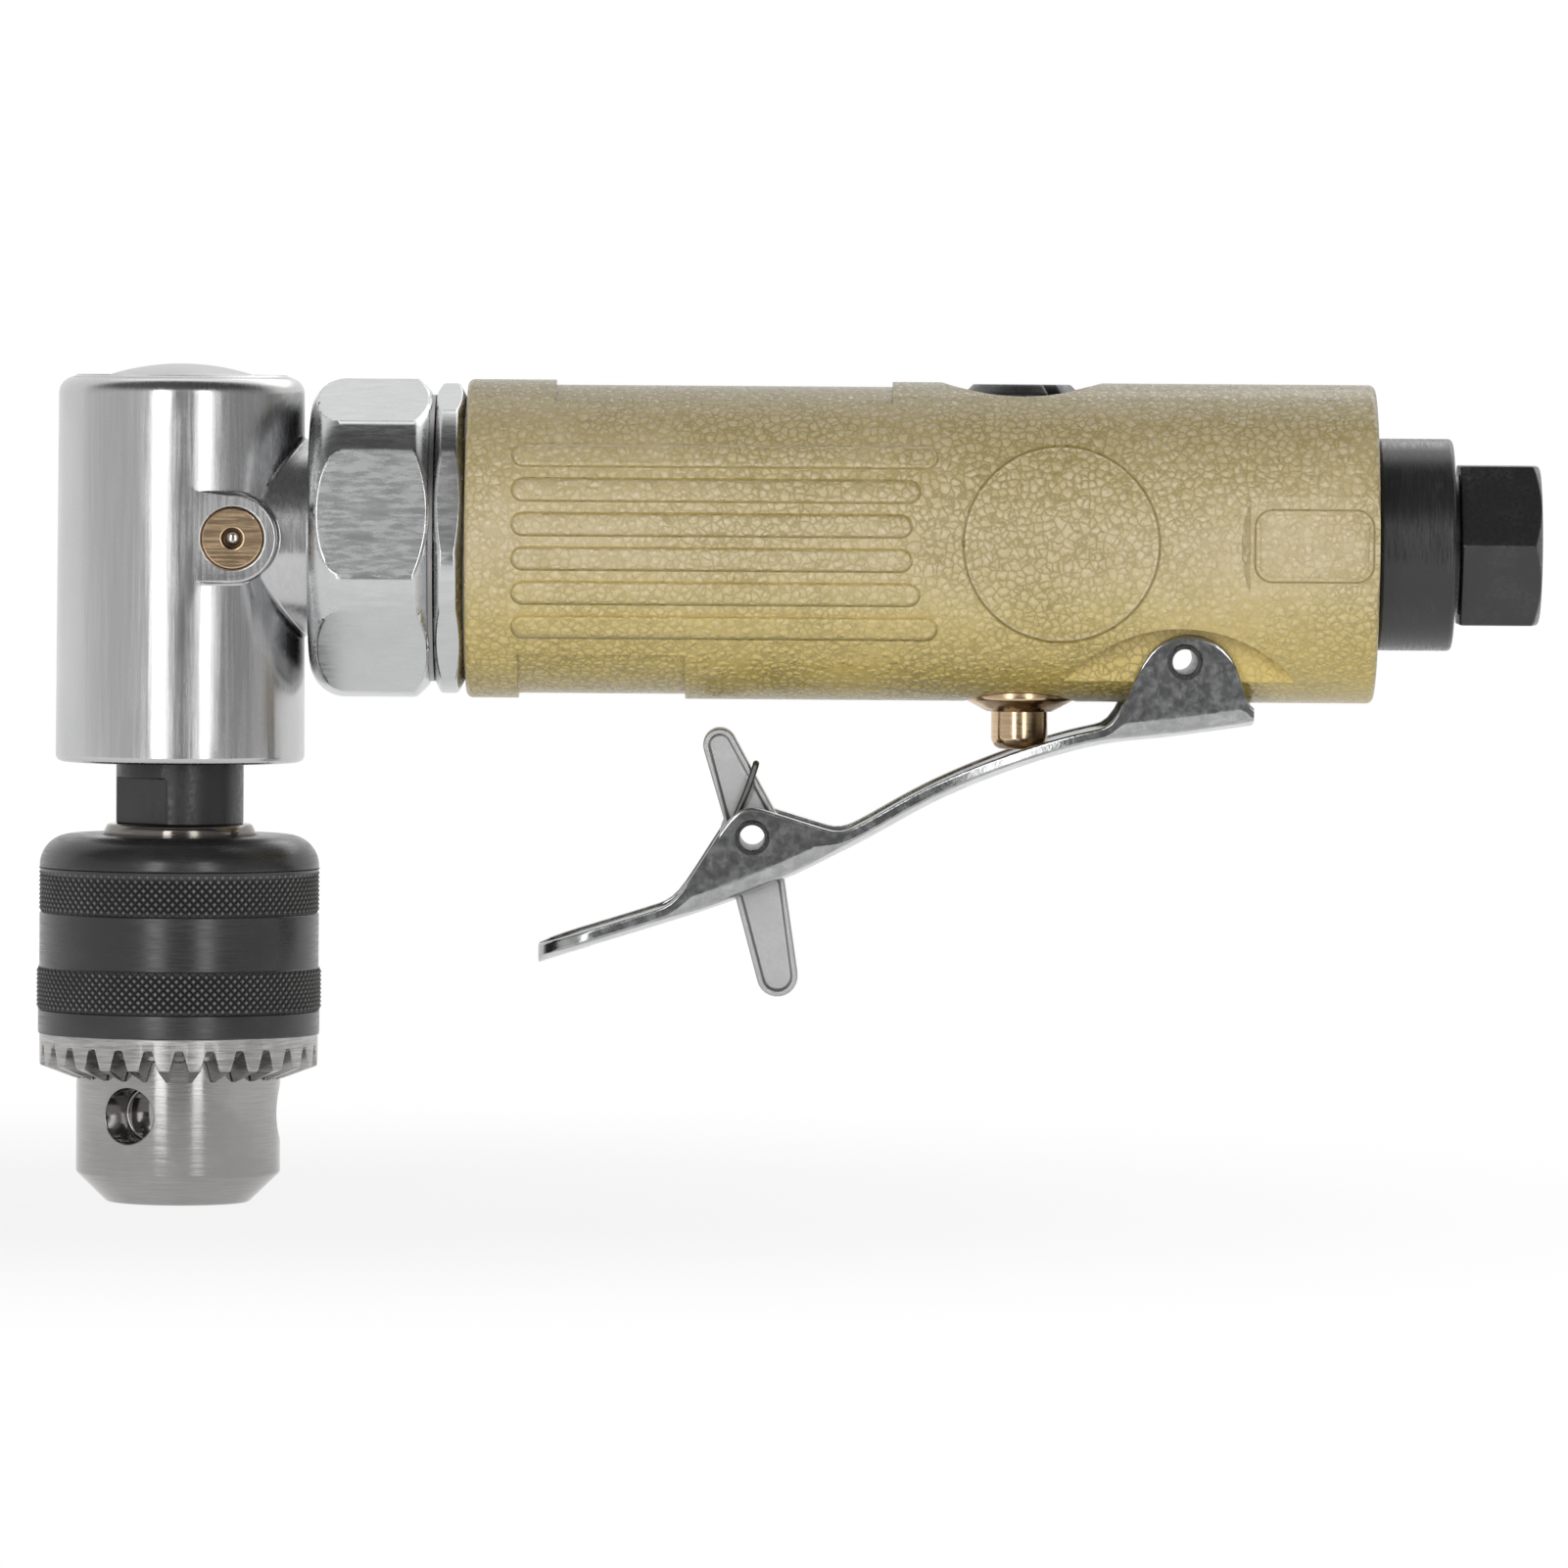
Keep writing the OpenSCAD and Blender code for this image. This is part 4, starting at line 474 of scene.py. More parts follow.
def finishes():
    """Builds every finish once and returns them by slot."""
    if FINISH:
        return FINISH
    colours = bpy.context.scene.drill_colours
    sizes = bpy.context.scene.drill_sizes
    plain, upright, turned, lathe = (1, 1, 1), (1.6, 1.6, 0.05), (0.12, 0.12, 3.0), (3.0, 0.1, 0.1)
    drawn, pressed = (0.25, 1.2, 1.2), (0.8, 1.4, 0.8)
    lever = tint(colours.chrome, 0.76)
    gear, spring = tint(colours.steel, 0.7), tint(colours.steel, 0.3)
    # Slot, name, colour, stretch, fineness, roughness, depth of the marks, darker share, blotches, spread
    metals = (
        ("head_alloy", "satin head alloy", colours.alloy, upright, 1500, 0.24, 0.000006, 0.86, 60, 0.10),
        ("head_cap", "spun cap alloy", colours.alloy, plain, 900, 0.36, 0.00001, 0.82),
        ("chrome_plate", "bright plate", colours.chrome, drawn, 1300, 0.24, 0.000006, 0.8, 70, 0.14),
        ("lever_plate", "pressed bright plate", lever, pressed, 1000, 0.17, 0.00003, 0.55, 320, 0.12),
        ("bright_steel", "turned steel", colours.steel, turned, 1700, 0.18, 0.000004, 0.78, 110, 0.10),
        ("gear_steel", "cut gear steel", gear, lathe, 900, 0.35, 0.00001),
        ("brass", "turned brass", colours.brass, turned, 1500, 0.2, 0.000005, 0.75, 160, 0.14),
        ("die_cast", "die casting", colours.cast, plain, 2600, 0.45, 0.00002, 0.8, 200, 0.12),
        ("spring_steel", "drawn wire", spring, plain, 1500, 0.35, 0.00001),
    )
    FINISH.update({slot: metal(*values) for slot, *values in metals})
    FINISH.update({
        "hammered_paint": painted("hammered paint", colours),
        "rib_paint": painted("hammered ribs", colours, (BODY_HIGH.z - BODY_LOW.z) / 2),
        "black_oxide": oxide("black oxide", colours.oxide, 0.3),
        "spindle_oxide": oxide("deep black oxide", tint(colours.oxide, 0.5), 0.36),
        "turned_oxide": oxide("turned black oxide", colours.oxide, 0.28, (2.5, 0.2, 0.2)),
        "sleeve_oxide": sleeve_finish(colours, SLEEVE_LOW.z + sizes.bright_band),
        "chuck_steel": body_finish(colours, SLEEVE_HIGH.z),
        "seal_rubber": soft_stuff("seal rubber", (0.03, 0.03, 0.03), 2000, 0.6),
        "vane_composite": soft_stuff("vane laminate", (0.20, 0.16, 0.12), 1400, 0.6),
        "felt": soft_stuff("silencer felt", (0.40, 0.39, 0.35), 2600, 0.95),
    })
    return FINISH


# Modelling helpers

BODIES = frame["record"]["behaviour"]["bodies"]
BODY_OF = {node: body for body, members in BODIES.items() for node in members}
SLOT_OF = {row["node"]: row["material_slot"] for row in frame["record"]["subparts"]}


def only(obj):
    """Makes one object the only selected and the active one."""
    bpy.ops.object.select_all(action="DESELECT")
    obj.select_set(True)
    bpy.context.view_layer.objects.active = obj


def open_mesh(obj):
    """Opens an object in edit mode with everything selected."""
    only(obj)
    bpy.ops.object.mode_set(mode="EDIT")
    bpy.ops.mesh.select_all(action="SELECT")


def dress(obj, finish):
    """Gives an object one finish."""
    obj.data.materials.clear()
    obj.data.materials.append(finishes()[finish])


def smooth(obj, angle):
    """Shades an object smooth, apart from edges over an angle in degrees."""
    only(obj)
    bpy.ops.object.shade_smooth_by_angle(angle=math.radians(angle))


def change(obj, kind, **values):
    """Applies a modifier with its settings to an object."""
    modifier = obj.modifiers.new(kind, kind)
    for key, value in values.items():
        setattr(modifier, key, value)
    only(obj)
    bpy.ops.object.modifier_apply(modifier=modifier.name)


def add(name, data):
    """A new object in the scene."""
    obj = bpy.data.objects.new(name, data)
    bpy.context.scene.collection.objects.link(obj)
    return obj


def piece(name, points, faces, weld=0):
    """A new object from points and faces; with a weld distance it is closed and turned outward."""
    mesh = bpy.data.meshes.new(name)
    mesh.from_pydata(points, [], faces)
    obj = add(name, mesh)
    if weld:
        open_mesh(obj)
        bpy.ops.mesh.remove_doubles(threshold=weld)
        bpy.ops.mesh.normals_make_consistent(inside=False)
        bpy.ops.object.mode_set(mode="OBJECT")
    return obj


def strip(first, second, ring):
    """Faces between two closed loops of points, from the number of each loop's first point."""
    steps = [(k, (k + 1) % ring) for k in range(ring)]
    return [(first + k, first + after, second + after, second + k) for k, after in steps]


def bow(centre, radius, start, end, steps):
    """Points of an arc from one angle to another, in degrees."""
    turns = [math.radians(start + (end - start) * k / steps) for k in range(steps + 1)]
    return [(centre[0] + radius * math.cos(a), centre[1] + radius * math.sin(a)) for a in turns]


def helix(radius, turns, first, last, start=0, per_turn=16):
    """Points of a coil as two places across its axis and one along it."""
    count = turns * per_turn
    across = bow((0, 0), radius, start, start + 360 * turns, count)
    return [(*spot, first + (last - first) * i / count) for i, spot in enumerate(across)]


def broken_edges(node, width, finish=None, angle=32, segments=2):
    """A copy of a CAD piece with its sharp edges broken, in place of the piece itself."""
    source = frame["nodes"][node]
    merge = 0.002 * MM
    obj = source.copy()
    obj.data = source.data.copy()
    obj.name = node + "_finished"
    obj.data.name = obj.name
    for key in [k for k in obj.keys() if k.startswith("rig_")]:
        del obj[key]
    bpy.context.scene.collection.objects.link(obj)
    obj.parent = None
    obj.matrix_world = Matrix.Identity(4)
    open_mesh(obj)
    bpy.ops.mesh.remove_doubles(threshold=merge)
    bpy.ops.mesh.dissolve_degenerate(threshold=merge)
    bpy.ops.mesh.dissolve_limited(angle_limit=math.radians(0.2))
    bpy.ops.object.mode_set(mode="OBJECT")
    if width:
        change(obj, "BEVEL", limit_method="ANGLE", angle_limit=math.radians(angle), width=width,
               segments=segments, use_clamp_overlap=False, miter_outer="MITER_ARC")
    smooth(obj, min(28, angle))
    change(obj, "WEIGHTED_NORMAL", keep_sharp=True, weight=100)
    dress(obj, finish or SLOT_OF[node])
    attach(obj, BODY_OF[node])
    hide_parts(node)
    return obj


def round_light(obj, axis, middle, flat_sides=False):
    """Shades the faces round an axis as true rounds, whatever their triangles."""
    mesh = obj.data
    normals = [corner.vector.copy() for corner in mesh.corner_normals]
    near_round, quite_flat = 0.985, 0.99999

    def outward(spot):
        away = spot - middle
        return (away - axis * away.dot(axis)).normalized()

    for face in mesh.polygons:
        is_side = flat_sides and abs(face.normal.y) > quite_flat
        if is_side or face.normal.dot(outward(face.center)) < near_round:
            continue
        for corner in face.loop_indices:
            normals[corner] = outward(mesh.vertices[mesh.loops[corner].vertex_index].co)
    mesh.normals_split_custom_set(normals)


def knurl(name, sizes, root, low, high):
    """A ring of sharp diamond points between two heights, closed behind."""
    depth, columns = sizes.knurl_depth, 2 * sizes.knurl_points
    step = 2 * math.pi * root / columns
    rows = max(2, 2 * round((high - low) / step / 2))
    levels = [(root, low + (high - low) * row / rows) for row in range(rows + 1)]
    levels += [(root - depth, low), (root - depth, high)]
    points, faces = [], []
    for row, (reach, z) in enumerate(levels):
        for column in range(columns):
            raised = (row + column) % 2 and 0 < row < rows
            r = reach + depth if raised else reach
            turn = 2 * math.pi * column / columns
            points.append((r * math.cos(turn), r * math.sin(turn), z))
    for row in range(rows):
        for column, (a, b, c, d) in enumerate(strip(row * columns, (row + 1) * columns, columns)):
            faces += [(a, b, d), (b, c, d)] if (row + column) % 2 else [(a, b, c), (a, c, d)]
    top = rows * columns
    inner_low, inner_high = top + columns, top + 2 * columns
    for first, second in ((inner_low, 0), (top, inner_high), (inner_high, inner_low)):
        faces += strip(first, second, columns)
    obj = piece(name, points, faces)
    obj.data.materials.append(knurl_finish(bpy.context.scene.drill_colours, root, root + depth))
    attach(obj, "sleeve")
    return obj


def wire(name, points, thickness, node, body=None):
    """A round wire in place of a CAD spring, or that spring's end where it moves with another body."""
    path = bpy.data.curves.new(name, "CURVE")
    path.dimensions = "3D"
    path.bevel_depth = thickness / 2
    path.bevel_resolution = 4
    path.resolution_u = 4
    path.use_fill_caps = True
    line = path.splines.new("NURBS")
    line.points.add(len(points) - 1)
    for spot, place in zip(line.points, points):
        spot.co = (*place, 1)
    line.order_u = 3
    line.use_endpoint_u = True
    only(add(name, path))
    bpy.ops.object.convert(target="MESH")
    obj = bpy.context.view_layer.objects.active
    smooth(obj, 50)
    dress(obj, SLOT_OF[node])
    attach(obj, body or BODY_OF[node])
    if not body:
        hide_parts(node)
    return obj


# Operators, one for each piece or group of like pieces

class DRILL_OT_stage(bpy.types.Operator):
    """Sets up the camera, the pale floor and soft studio light"""

    bl_idname = "drill.stage"
    bl_label = "Stage"

    # Middle of the picture, in millimetres
    middle = (72.15, 0, 50.4)

    # Name, turn from the camera, rise, distance, width, height, power
    lamp_rows = (
        ("left strip", -20.5, -1, 1.0, 0.20, 1.1, 2.9),
        ("right strip", 20.5, -1, 1.0, 0.20, 1.1, 2.6),
        ("front fill", 0, 7, 1.2, 0.9, 0.4, 3.6),
        ("rear rim", 178, 66, 0.9, 0.9, 0.25, 0.35),
        ("back panel", 150, 40, 1.1, 0.8, 0.5, 1.5),
    )

    def execute(self, context):
        scene = context.scene
        scene.view_settings.view_transform = "Standard"
        stage = scene.drill_stage
        centre = Vector(self.middle) * MM
        aim = Vector((0, math.cos(stage.elevation), -math.sin(stage.elevation)))
        camera = bpy.data.cameras.new("camera")
        camera.sensor_width = 36
        camera.lens = camera.sensor_width * stage.distance / stage.picture
        camera.clip_end = 20
        holder = add("camera", camera)
        turn = aim.to_track_quat("-Z", "Y").to_matrix() @ Matrix.Rotation(stage.roll, 3, "Z")
        holder.matrix_world = Matrix.Translation(centre - aim * stage.distance) @ turn.to_4x4()
        scene.camera = holder
        self.floor(context)
        self.lamps(centre)
        self.world(context)
        return {"FINISHED"}

    def floor(self, context):
        """A pale plane just under the object, white where only the camera or a mirror sees it."""
        gap = 0.2 * MM
        bpy.ops.object.select_all(action="DESELECT")
        bpy.ops.mesh.primitive_plane_add(size=4, location=(0, 1.75, CAD_BOX[0].z - gap))
        plane = context.object
        plane.name = "floor"
        mat, tree, shader = blank("pale floor", 0.0, 0.9, 0.1)
        fit(shader, Base_Color=(0.86, 0.86, 0.86, 1))
        white = put(tree, "ShaderNodeEmission", Strength=1.0)
        rays = put(tree, "ShaderNodeLightPath").outputs
        seen = maths("MAXIMUM", rays["Is Camera Ray"], rays["Is Transmission Ray"])
        # White far off, and a little less by the object, where its shadow lies
        place = put(tree, "ShaderNodeNewGeometry").outputs["Position"]
        away = put(tree, "ShaderNodeVectorMath", operation="LENGTH", Vector=place)
        near = remap(away.outputs["Value"], 0.03, 0.22, 0.86, 1.0)
        share = maths("MULTIPLY", maths("MAXIMUM", seen, rays["Is Glossy Ray"]), near)
        fit(tree.nodes["Material Output"], Surface=mix_shaders(share, shader, white))
        plane.data.materials.append(mat)

    def lamps(self, centre):
        """Area lamps round the middle of the picture, all turned to it."""
        for name, turn, rise, away, wide, tall, power in self.lamp_rows:
            lamp = bpy.data.lights.new(name, "AREA")
            lamp.shape = "RECTANGLE"
            lamp.size = wide
            lamp.size_y = tall
            lamp.energy = power
            holder = add(name, lamp)
            holder.visible_glossy = "fill" not in name
            a, e = math.radians(turn), math.radians(rise)
            way = Vector((math.sin(a) * math.cos(e), -math.cos(a) * math.cos(e), math.sin(e)))
            facing = (-way).to_track_quat("-Z", "Y").to_matrix().to_4x4()
            holder.matrix_world = Matrix.Translation(centre + way * away) @ facing

    def world(self, context):
        """A grey room for the light, and a white background for the camera."""
        world = bpy.data.worlds.new("studio")
        context.scene.world = world
        world.use_nodes = True
        tree = world.node_tree
        tree.nodes.clear()
        x, y, z = spot_of(tree, "Generated")
        # Grey all round, darker by the camera and low in front, so that plated faces show their form
        side = remap(x, -0.9, 0.9, 0.66, 0.32)
        camera = remap(y, -0.99, -0.9, 0.42, 1.0)
        over = remap(z, 0.2, 0.7, 1.0, 0.2)
        under = remap(z, -0.35, 0.0, 0.6, 1.0)
        level = maths("MULTIPLY", side, camera)
        level = maths("MULTIPLY", maths("MULTIPLY", level, over), under)
        soft = put(tree, "ShaderNodeBackground", Color=level)
        white = put(tree, "ShaderNodeBackground", Color=(1, 1, 1, 1), Strength=1.0)
        rays = put(tree, "ShaderNodeLightPath").outputs
        # Metal sees the white background too, where it stands behind the object
        mirrored = maths("MAXIMUM", rays["Is Glossy Ray"], rays["Is Transmission Ray"])
        mirrored = maths("MULTIPLY", mirrored, remap(y, 0.0, 0.35))
        share = maths("MAXIMUM", rays["Is Camera Ray"], mirrored)
        put(tree, "ShaderNodeOutputWorld", Surface=mix_shaders(share, soft, white))


class DRILL_OT_handle(bpy.types.Operator):
    """Paints the handle and rounds its grip ribs under the paint"""

    bl_idname = "drill.handle"
    bl_label = "Handle"

    # Section of a rib from its foot to its flat top, in millimetres: out from its edge, over the handle
    profile = ((0.48, -0.04), (0.28, 0.03), (0.17, 0.14), (0.11, 0.30), (0.03, 0.44), (-0.10, 0.51),
               (-0.32, 0.54))
    ribs = 6

    def rib(self, sizes, side, height, first, last):
        """Loops of points of one rib: a long round-ended pad bent round the handle."""
        radius = (BODY_HIGH.z - BODY_LOW.z) / 2
        half, turns, spans = sizes.rib_width / 2, 10, 24
        start, end = first + half, last - half
        shares = [k / spans for k in range(1, spans)]
        spine = [(start, *way) for way in bow((0, 0), 1, 90, 270, turns)]
        spine += [(start + (end - start) * share, 0, -1) for share in shares]
        spine += [(end, *way) for way in bow((0, 0), 1, -90, 90, turns)]
        spine += [(end - (end - start) * share, 0, 1) for share in shares]
        loops = []
        steps = [(half + out * MM, over * MM) for out, over in self.profile]
        for reach, over in steps + [(0, steps[-1][1])]:
            loop = []
            for x, way_x, way_z in spine:
                z = height + reach * way_z
                y = side * math.sqrt((radius + over) ** 2 - z ** 2)
                loop.append((x + reach * way_x, y, AXIS_Z + z))
            loops.append(loop)
        return loops

    def execute(self, context):
        sizes = context.scene.drill_sizes
        body = broken_edges("handle_body", 0, angle=12)
        round_light(body, Vector((1, 0, 0)), Vector((0, 0, AXIS_Z)), flat_sides=True)
        outline = BODY_LOW.x + sizes.outline_from_front
        points, faces = [], []
        for side in (-1, 1):
            for i in range(self.ribs):
                height = (i - (self.ribs - 1) / 2) * sizes.rib_pitch
                last = outline - math.sqrt(sizes.rib_arc ** 2 - height ** 2)
                loops = self.rib(sizes, side, height, BODY_LOW.x + sizes.rib_start, last)
                for loop in loops[:-1]:
                    faces += strip(len(points), len(points) + len(loop), len(loop))
                    points += loop
                points += loops[-1]
        obj = piece("grip_ribs", points, faces, 0.001 * MM)
        smooth(obj, 60)
        dress(obj, "rib_paint")
        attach(obj, "tool")
        return {"FINISHED"}


class DRILL_OT_head(bpy.types.Operator):
    """Finishes the angle head, its cap, the grease fitting and the spindle"""

    bl_idname = "drill.head"
    bl_label = "Angle head"

    def execute(self, context):
        edge = context.scene.drill_sizes.edge
        broken_edges("head_housing", edge * 2, segments=3)
        broken_edges("head_cap", edge, "head_cap")
        broken_edges("grease_fitting", edge)
        broken_edges("spindle", edge, "spindle_oxide")
        return {"FINISHED"}


class DRILL_OT_coupling(bpy.types.Operator):
    """Finishes the coupling nut and the lock ring"""

    bl_idname = "drill.coupling"
    bl_label = "Coupling"

    def execute(self, context):
        edge = context.scene.drill_sizes.edge
        for node in ("coupling_nut", "lock_ring"):
            broken_edges(node, edge * 1.6, segments=3)
        return {"FINISHED"}


class DRILL_OT_chuck(bpy.types.Operator):
    """Finishes the keyed chuck and cuts its two knurls"""

    bl_idname = "drill.chuck"
    bl_label = "Chuck"

    def execute(self, context):
        sizes = context.scene.drill_sizes
        body = broken_edges("chuck_body", sizes.edge * 1.5, "chuck_steel", segments=4)
        round_light(body, Vector((0, 0, 1)), Vector((0, 0, 0)))
        broken_edges("chuck_sleeve", sizes.edge * 0.8, "sleeve_oxide")
        for jaw in ("chuck_jaw_1", "chuck_jaw_2", "chuck_jaw_3"):
            broken_edges(jaw, sizes.edge * 0.6)
        outer = (SLEEVE_HIGH.x - SLEEVE_LOW.x) / 2
        knurls = (
            ("lower_knurl", sizes.knurl_low_sink, sizes.knurl_low_start, sizes.knurl_low_end),
            ("upper_knurl", sizes.knurl_high_sink, sizes.knurl_high_start, sizes.knurl_high_end),
        )
        for name, sink, start, end in knurls:
            knurl(name, sizes, outer - sink, SLEEVE_LOW.z + start, SLEEVE_LOW.z + end)
        return {"FINISHED"}


class DRILL_OT_valve(bpy.types.Operator):
    """Finishes the throttle button, its bushing, the regulator and the throttle spring"""

    bl_idname = "drill.valve"
    bl_label = "Valve"

    def execute(self, context):
        sizes = context.scene.drill_sizes
        broken_edges("valve_bushing", sizes.edge)
        broken_edges("throttle_button", sizes.edge)
        broken_edges("regulator_screw", sizes.edge, "black_oxide")
        half = sizes.throttle_wire / 2
        low, high = SPRING_LOW.z + half, SPRING_HIGH.z - half
        coil = (SPRING_HIGH.x - SPRING_LOW.x) / 2 - half
        middle = (SPRING_HIGH + SPRING_LOW) / 2
        turns = 6
        points = [(middle.x + u, middle.y + v, z) for u, v, z in helix(coil, turns, low, high)]
        spring = wire("throttle_spring_wire", points, sizes.throttle_wire, "throttle_spring")
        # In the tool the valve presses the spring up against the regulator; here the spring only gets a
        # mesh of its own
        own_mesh(spring)
        return {"FINISHED"}


def touch(point, centre, radius, side):
    """Where a line from a point touches a circle, on one side of it."""
    away = centre - point
    turn = math.atan2(away.y, away.x) + side * math.asin(radius / away.length)
    reach = math.sqrt(away.length_squared - radius * radius)
    return point + reach * Vector((math.cos(turn), math.sin(turn)))


def ear_top(x, front, rear, centre, radius):
    """Height of an ear's edge at x, or None beside the ear: straight flanks that touch a round top."""
    if not front.x < x < rear.x:
        return None
    first, last = touch(front, centre, radius, 1), touch(rear, centre, radius, -1)
    if x < first.x:
        return front.y + (first.y - front.y) * (x - front.x) / (first.x - front.x)
    if x > last.x:
        return rear.y + (last.y - rear.y) * (x - rear.x) / (last.x - rear.x)
    return centre.y + math.sqrt(radius * radius - (x - centre.x) ** 2)


def cut(obj, cutter):
    """Takes one solid out of another and drops the cutter."""
    change(obj, "BOOLEAN", operation="DIFFERENCE", solver="EXACT", object=cutter)
    bpy.data.objects.remove(cutter, do_unlink=True)


class DRILL_OT_lever(bpy.types.Operator):
    """Presses the throttle lever from one sheet, with its ears bent up, and finishes its hollow pins"""

    bl_idname = "drill.lever"
    bl_label = "Lever"

    # Middle of the lever's underside, in millimetres from the pivot, from the rear to the tip
    path = ((8.2, -7.8), (-0.8, -9.1), (-10.2, -10.3), (-19.5, -13), (-28.9, -16.9), (-38.2, -22),
            (-47.6, -26.7), (-54.6, -29.6), (-64, -32.7), (-73.3, -35.6), (-76.6, -36.7))

    # Ears in millimetres from their pins: front foot, rear foot, middle of the round top, its radius
    pivot_ear = ((-8.4, -8), (7.3, -6.6), (0.5, -3.1), 6.4)
    catch_ear = ((-9.1, -7.7), (12, 0.1), (0, 0), 3.6)

    # Where the lever narrows before the pivot, and its round tip, in millimetres; width left at the tip
    taper_start, taper_length = 9, 22
    tip_start, tip_length, tip_share = 0.4, 7, 0.16

    # Window for the catch, in millimetres from the catch's pin, and the holes' play on the pins
    window_middle, window_size = (-7.2, -7), (24, 14)
    hole_play, hole_depth = 0.05, 40

    def curve(self, pivot, steps):
        """Points of a smooth line through the path."""
        spots = [pivot + Vector(p) * MM for p in self.path]
        made = []
        for i in range(len(spots) - 1):
            before, after = spots[max(i - 1, 0)], spots[min(i + 2, len(spots) - 1)]
            a, b = spots[i], spots[i + 1]
            m, n = (b - before) / 2, (after - a) / 2
            for k in range(steps):
                t = k / steps
                made.append((2 * t ** 3 - 3 * t ** 2 + 1) * a + (t ** 3 - 2 * t ** 2 + t) * m
                            + (3 * t ** 2 - 2 * t ** 3) * b + (t ** 3 - t ** 2) * n)
        return made + [spots[-1]]

    def half_width(self, sizes, pivot, tip, x):
        """Half the lever's width at x."""
        k = min(1, max(0, (pivot.x - x - self.taper_start * MM) / (self.taper_length * MM)))
        base = sizes.pivot_half + (sizes.lever_half - sizes.pivot_half) * (3 * k ** 2 - 2 * k ** 3)
        near = min(1, (x - tip.x + self.tip_start * MM) / (self.tip_length * MM))
        return base * (self.tip_share + (1 - self.tip_share) * math.sqrt(max(0, 1 - (1 - near) ** 2)))

    def section(self, sizes, half, low, sheet, crown, rise):
        """One closed section across the lever, as (across, height), with its edges bent up by rise."""
        fine, least, full = 0.3 * MM, 0.05 * MM, 2.5 * MM
        outer = fine + (sizes.lever_bend - fine) * min(1, rise / full)
        inner = max(least, min(rise * 0.8, outer - 0.8 * MM))
        thick = min(sizes.lever_ear, 0.6 * half)
        top = low + crown + sheet + rise
        spans, bends, wall = 5, 5, (0.06, 0.5, 0.94)
        inside = half - thick

        def under(y):
            return low + crown * (y / half) ** 2

        right = [(y, under(y)) for y in ((half - outer) * k / spans for k in range(spans + 1))]
        start = under(half - outer) + outer
        right += bow((half - outer, start), outer, -90, 0, bends)[1:]
        right += [(half, start + (top - fine - start) * k) for k in wall]
        right += bow((half - fine, top - fine), fine, 0, 90, 2)
        right += bow((inside + fine, top - fine), fine, 90, 180, 2)
        end = under(inside - inner) + sheet + inner
        right += [(inside, top - fine + (end - top + fine) * k) for k in wall]
        right += bow((inside - inner, end), inner, 0, -90, bends)
        shares = [1 - k / spans for k in range(1, spans)]
        right += [(y, under(y) + sheet) for y in ((inside - inner) * share for share in shares)]
        left = [(-y, z) for y, z in reversed(right[1:])]
        return right + [(0, low + sheet)] + left

    def execute(self, context):
        sizes = context.scene.drill_sizes
        pin_low, pin_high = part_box("lever_pin")
        pivot = Vector(((pin_low.x + pin_high.x) / 2, (pin_low.z + pin_high.z) / 2))
        catch = Vector((CATCH_PIN.x, CATCH_PIN.z))
        line = self.curve(pivot, 12)
        ears = []
        for pin, (*spots, radius) in ((pivot, self.pivot_ear), (catch, self.catch_ear)):
            ears.append([pin + Vector(spot) * MM for spot in spots] + [radius * MM])
        rises, rows = [], []
        for i, spot in enumerate(line):
            way = (line[min(i + 1, len(line) - 1)] - line[max(i - 1, 0)]).normalized()
            lean = 1 / abs(way.x)
            sheet, crown = sizes.lever_sheet * lean, sizes.lever_crown * lean
            tops = [t for t in (ear_top(spot.x, *ear) for ear in ears) if t is not None]
            rises.append(max(0, max(tops) - spot.y - crown - sheet) if tops else 0)
            rows.append((spot, sheet, crown))
        # The ears run out softly into the sheet
        for _ in range(3):
            padded = [rises[0], *rises, rises[-1]]
            rises = [(a + 2 * b + c) / 4 for a, b, c in zip(padded, padded[1:], padded[2:])]
        points, faces = [], []
        for (spot, sheet, crown), rise in zip(rows, rises):
            half = self.half_width(sizes, pivot, line[-1], spot.x)
            loop = self.section(sizes, half, spot.y, sheet, crown, rise)
            points += [(spot.x, y, z) for y, z in loop]
        ring = len(loop)
        last = len(points) - ring
        for first in range(0, last, ring):
            faces += strip(first, first + ring, ring)
        faces += [tuple(reversed(range(ring))), tuple(range(last, len(points)))]
        obj = piece("throttle_lever_pressed", points, faces, 0.01 * MM)
        for low, high in ((pin_low, pin_high), (CATCH_PIN_LOW, CATCH_PIN_HIGH)):
            bpy.ops.mesh.primitive_cylinder_add(
                vertices=64, radius=(high.x - low.x) / 2 + self.hole_play * MM, depth=self.hole_depth * MM,
                location=(low + high) / 2, rotation=(math.pi / 2, 0, 0))
            cut(obj, context.object)
        x, z = catch + Vector(self.window_middle) * MM
        wide, tall = Vector(self.window_size) * MM
        bpy.ops.mesh.primitive_cube_add(
            size=1, location=(x, 0, z), scale=(wide, 2 * sizes.window_half, tall))
        cut(obj, context.object)
        smooth(obj, 35)
        dress(obj, "lever_plate")
        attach(obj, "lever")
        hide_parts("throttle_lever")
        for pin in ("lever_pin", "catch_pin"):
            broken_edges(pin, sizes.edge, "black_oxide")
        return {"FINISHED"}


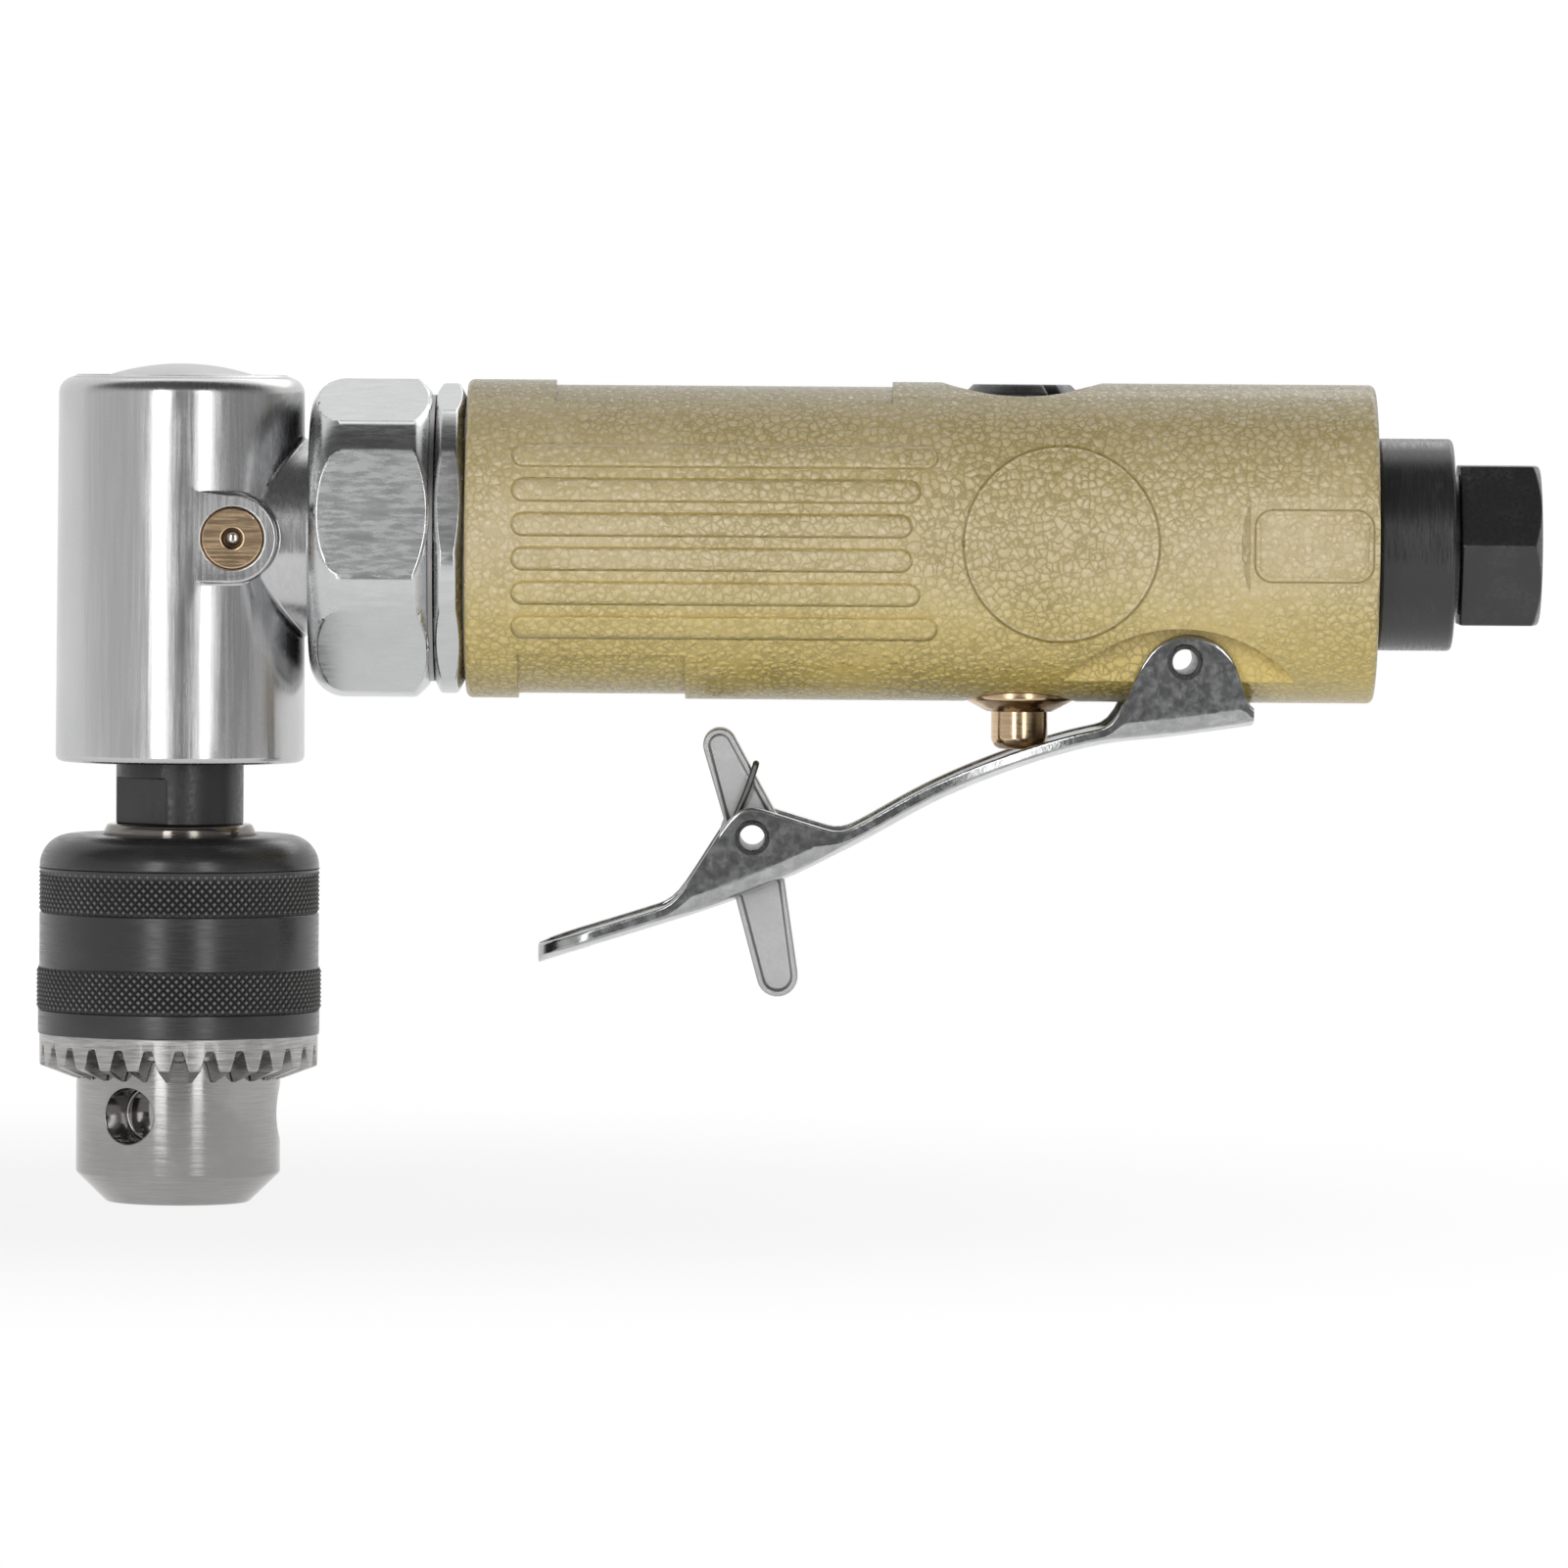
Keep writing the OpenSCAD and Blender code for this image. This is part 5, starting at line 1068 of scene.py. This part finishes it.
class DRILL_OT_catch(bpy.types.Operator):
    """Finishes the safety catch and winds its spring round the pin"""

    bl_idname = "drill.catch"
    bl_label = "Safety catch"

    # Hook of the spring's upper leg from the pin, and points along that leg from the hook, in millimetres
    hook = (0.4, 8.6)
    leg_ends = ((0, 0.7, 0), (0, 0.1, 0), (-0.15, 0, -0.5), (-0.8, 0, -2.5), (-1.5, 0, -4.3))
    hook_depth, coil_play, side_play = 1.4, 0.35, 0.15

    # Where the lower leg ends, from the edge of the coil and under the pin
    foot = (1.4, 3)

    def execute(self, context):
        sizes = context.scene.drill_sizes
        broken_edges("safety_catch", sizes.edge * 1.6, segments=4)
        low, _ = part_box("catch_spring")
        catch_low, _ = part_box("safety_catch")
        half = sizes.catch_wire / 2
        y_in = catch_low.y - half - self.side_play * MM
        y_out = low.y + half
        coil = CATCH_PIN_HIGH.x - CATCH_PIN.x + half + self.coil_play * MM
        hook = Vector((CATCH_PIN.x + self.hook[0] * MM, y_in, CATCH_PIN.z + self.hook[1] * MM))
        leg = [(hook.x, catch_low.y + self.hook_depth * MM, hook.z)]
        leg += [tuple(hook + Vector(spot) * MM) for spot in self.leg_ends]
        turns, start = 2, 170
        wound = helix(coil, turns, y_in, y_out, start)
        coils = [(CATCH_PIN.x + u, y, CATCH_PIN.z + v) for u, v, y in wound]
        coils.append((CATCH_PIN.x - coil - self.foot[0] * MM, y_out, CATCH_PIN.z - self.foot[1] * MM))
        wire("catch_spring_wire", coils, sizes.catch_wire, "catch_spring")
        # The upper leg is hooked on the catch and folds with it
        wire("catch_spring_leg", leg + coils[:2], sizes.catch_wire, "catch_spring", "catch")
        return {"FINISHED"}


class DRILL_OT_rear(bpy.types.Operator):
    """Finishes the exhaust sleeve and the hexagon air inlet"""

    bl_idname = "drill.rear"
    bl_label = "Air inlet"

    def execute(self, context):
        edge = context.scene.drill_sizes.edge
        broken_edges("exhaust_sleeve", edge, "turned_oxide")
        broken_edges("inlet_bushing", edge * 1.3, "black_oxide", segments=3)
        return {"FINISHED"}


class DRILL_OT_works(bpy.types.Operator):
    """Gives every piece that is left, such as gears and bearings, its finish"""

    bl_idname = "drill.works"
    bl_label = "Inner works"

    def execute(self, context):
        for node, obj in frame["nodes"].items():
            dress(obj, SLOT_OF[node])
        return {"FINISHED"}


class DRILL_PT_panel(bpy.types.Panel):
    """Lists the steps that dress the drill"""

    bl_idname = "DRILL_PT_panel"
    bl_label = "Air drill"
    bl_space_type = "VIEW_3D"
    bl_region_type = "UI"
    bl_category = "Air drill"

    def draw(self, context):
        for step in STEPS:
            self.layout.operator(step.bl_idname)


GROUPS_OF_SETTINGS = (
    ("drill_colours", DrillColours), ("drill_sizes", DrillSizes), ("drill_stage", DrillStage),
)
STEPS = (
    DRILL_OT_stage, DRILL_OT_works, DRILL_OT_handle, DRILL_OT_head, DRILL_OT_coupling, DRILL_OT_chuck,
    DRILL_OT_valve, DRILL_OT_lever, DRILL_OT_catch, DRILL_OT_rear,
)


def register():
    for name, kind in GROUPS_OF_SETTINGS:
        bpy.utils.register_class(kind)
        setattr(bpy.types.Scene, name, PointerProperty(type=kind))
    for step in (*STEPS, DRILL_PT_panel):
        bpy.utils.register_class(step)


def unregister():
    for step in reversed((*STEPS, DRILL_PT_panel)):
        bpy.utils.unregister_class(step)
    for name, kind in reversed(GROUPS_OF_SETTINGS):
        delattr(bpy.types.Scene, name)
        bpy.utils.unregister_class(kind)


def main():
    register()
    for step in STEPS:
        family, name = step.bl_idname.split(".")
        getattr(getattr(bpy.ops, family), name)()


if __name__ == "__main__":
    main()
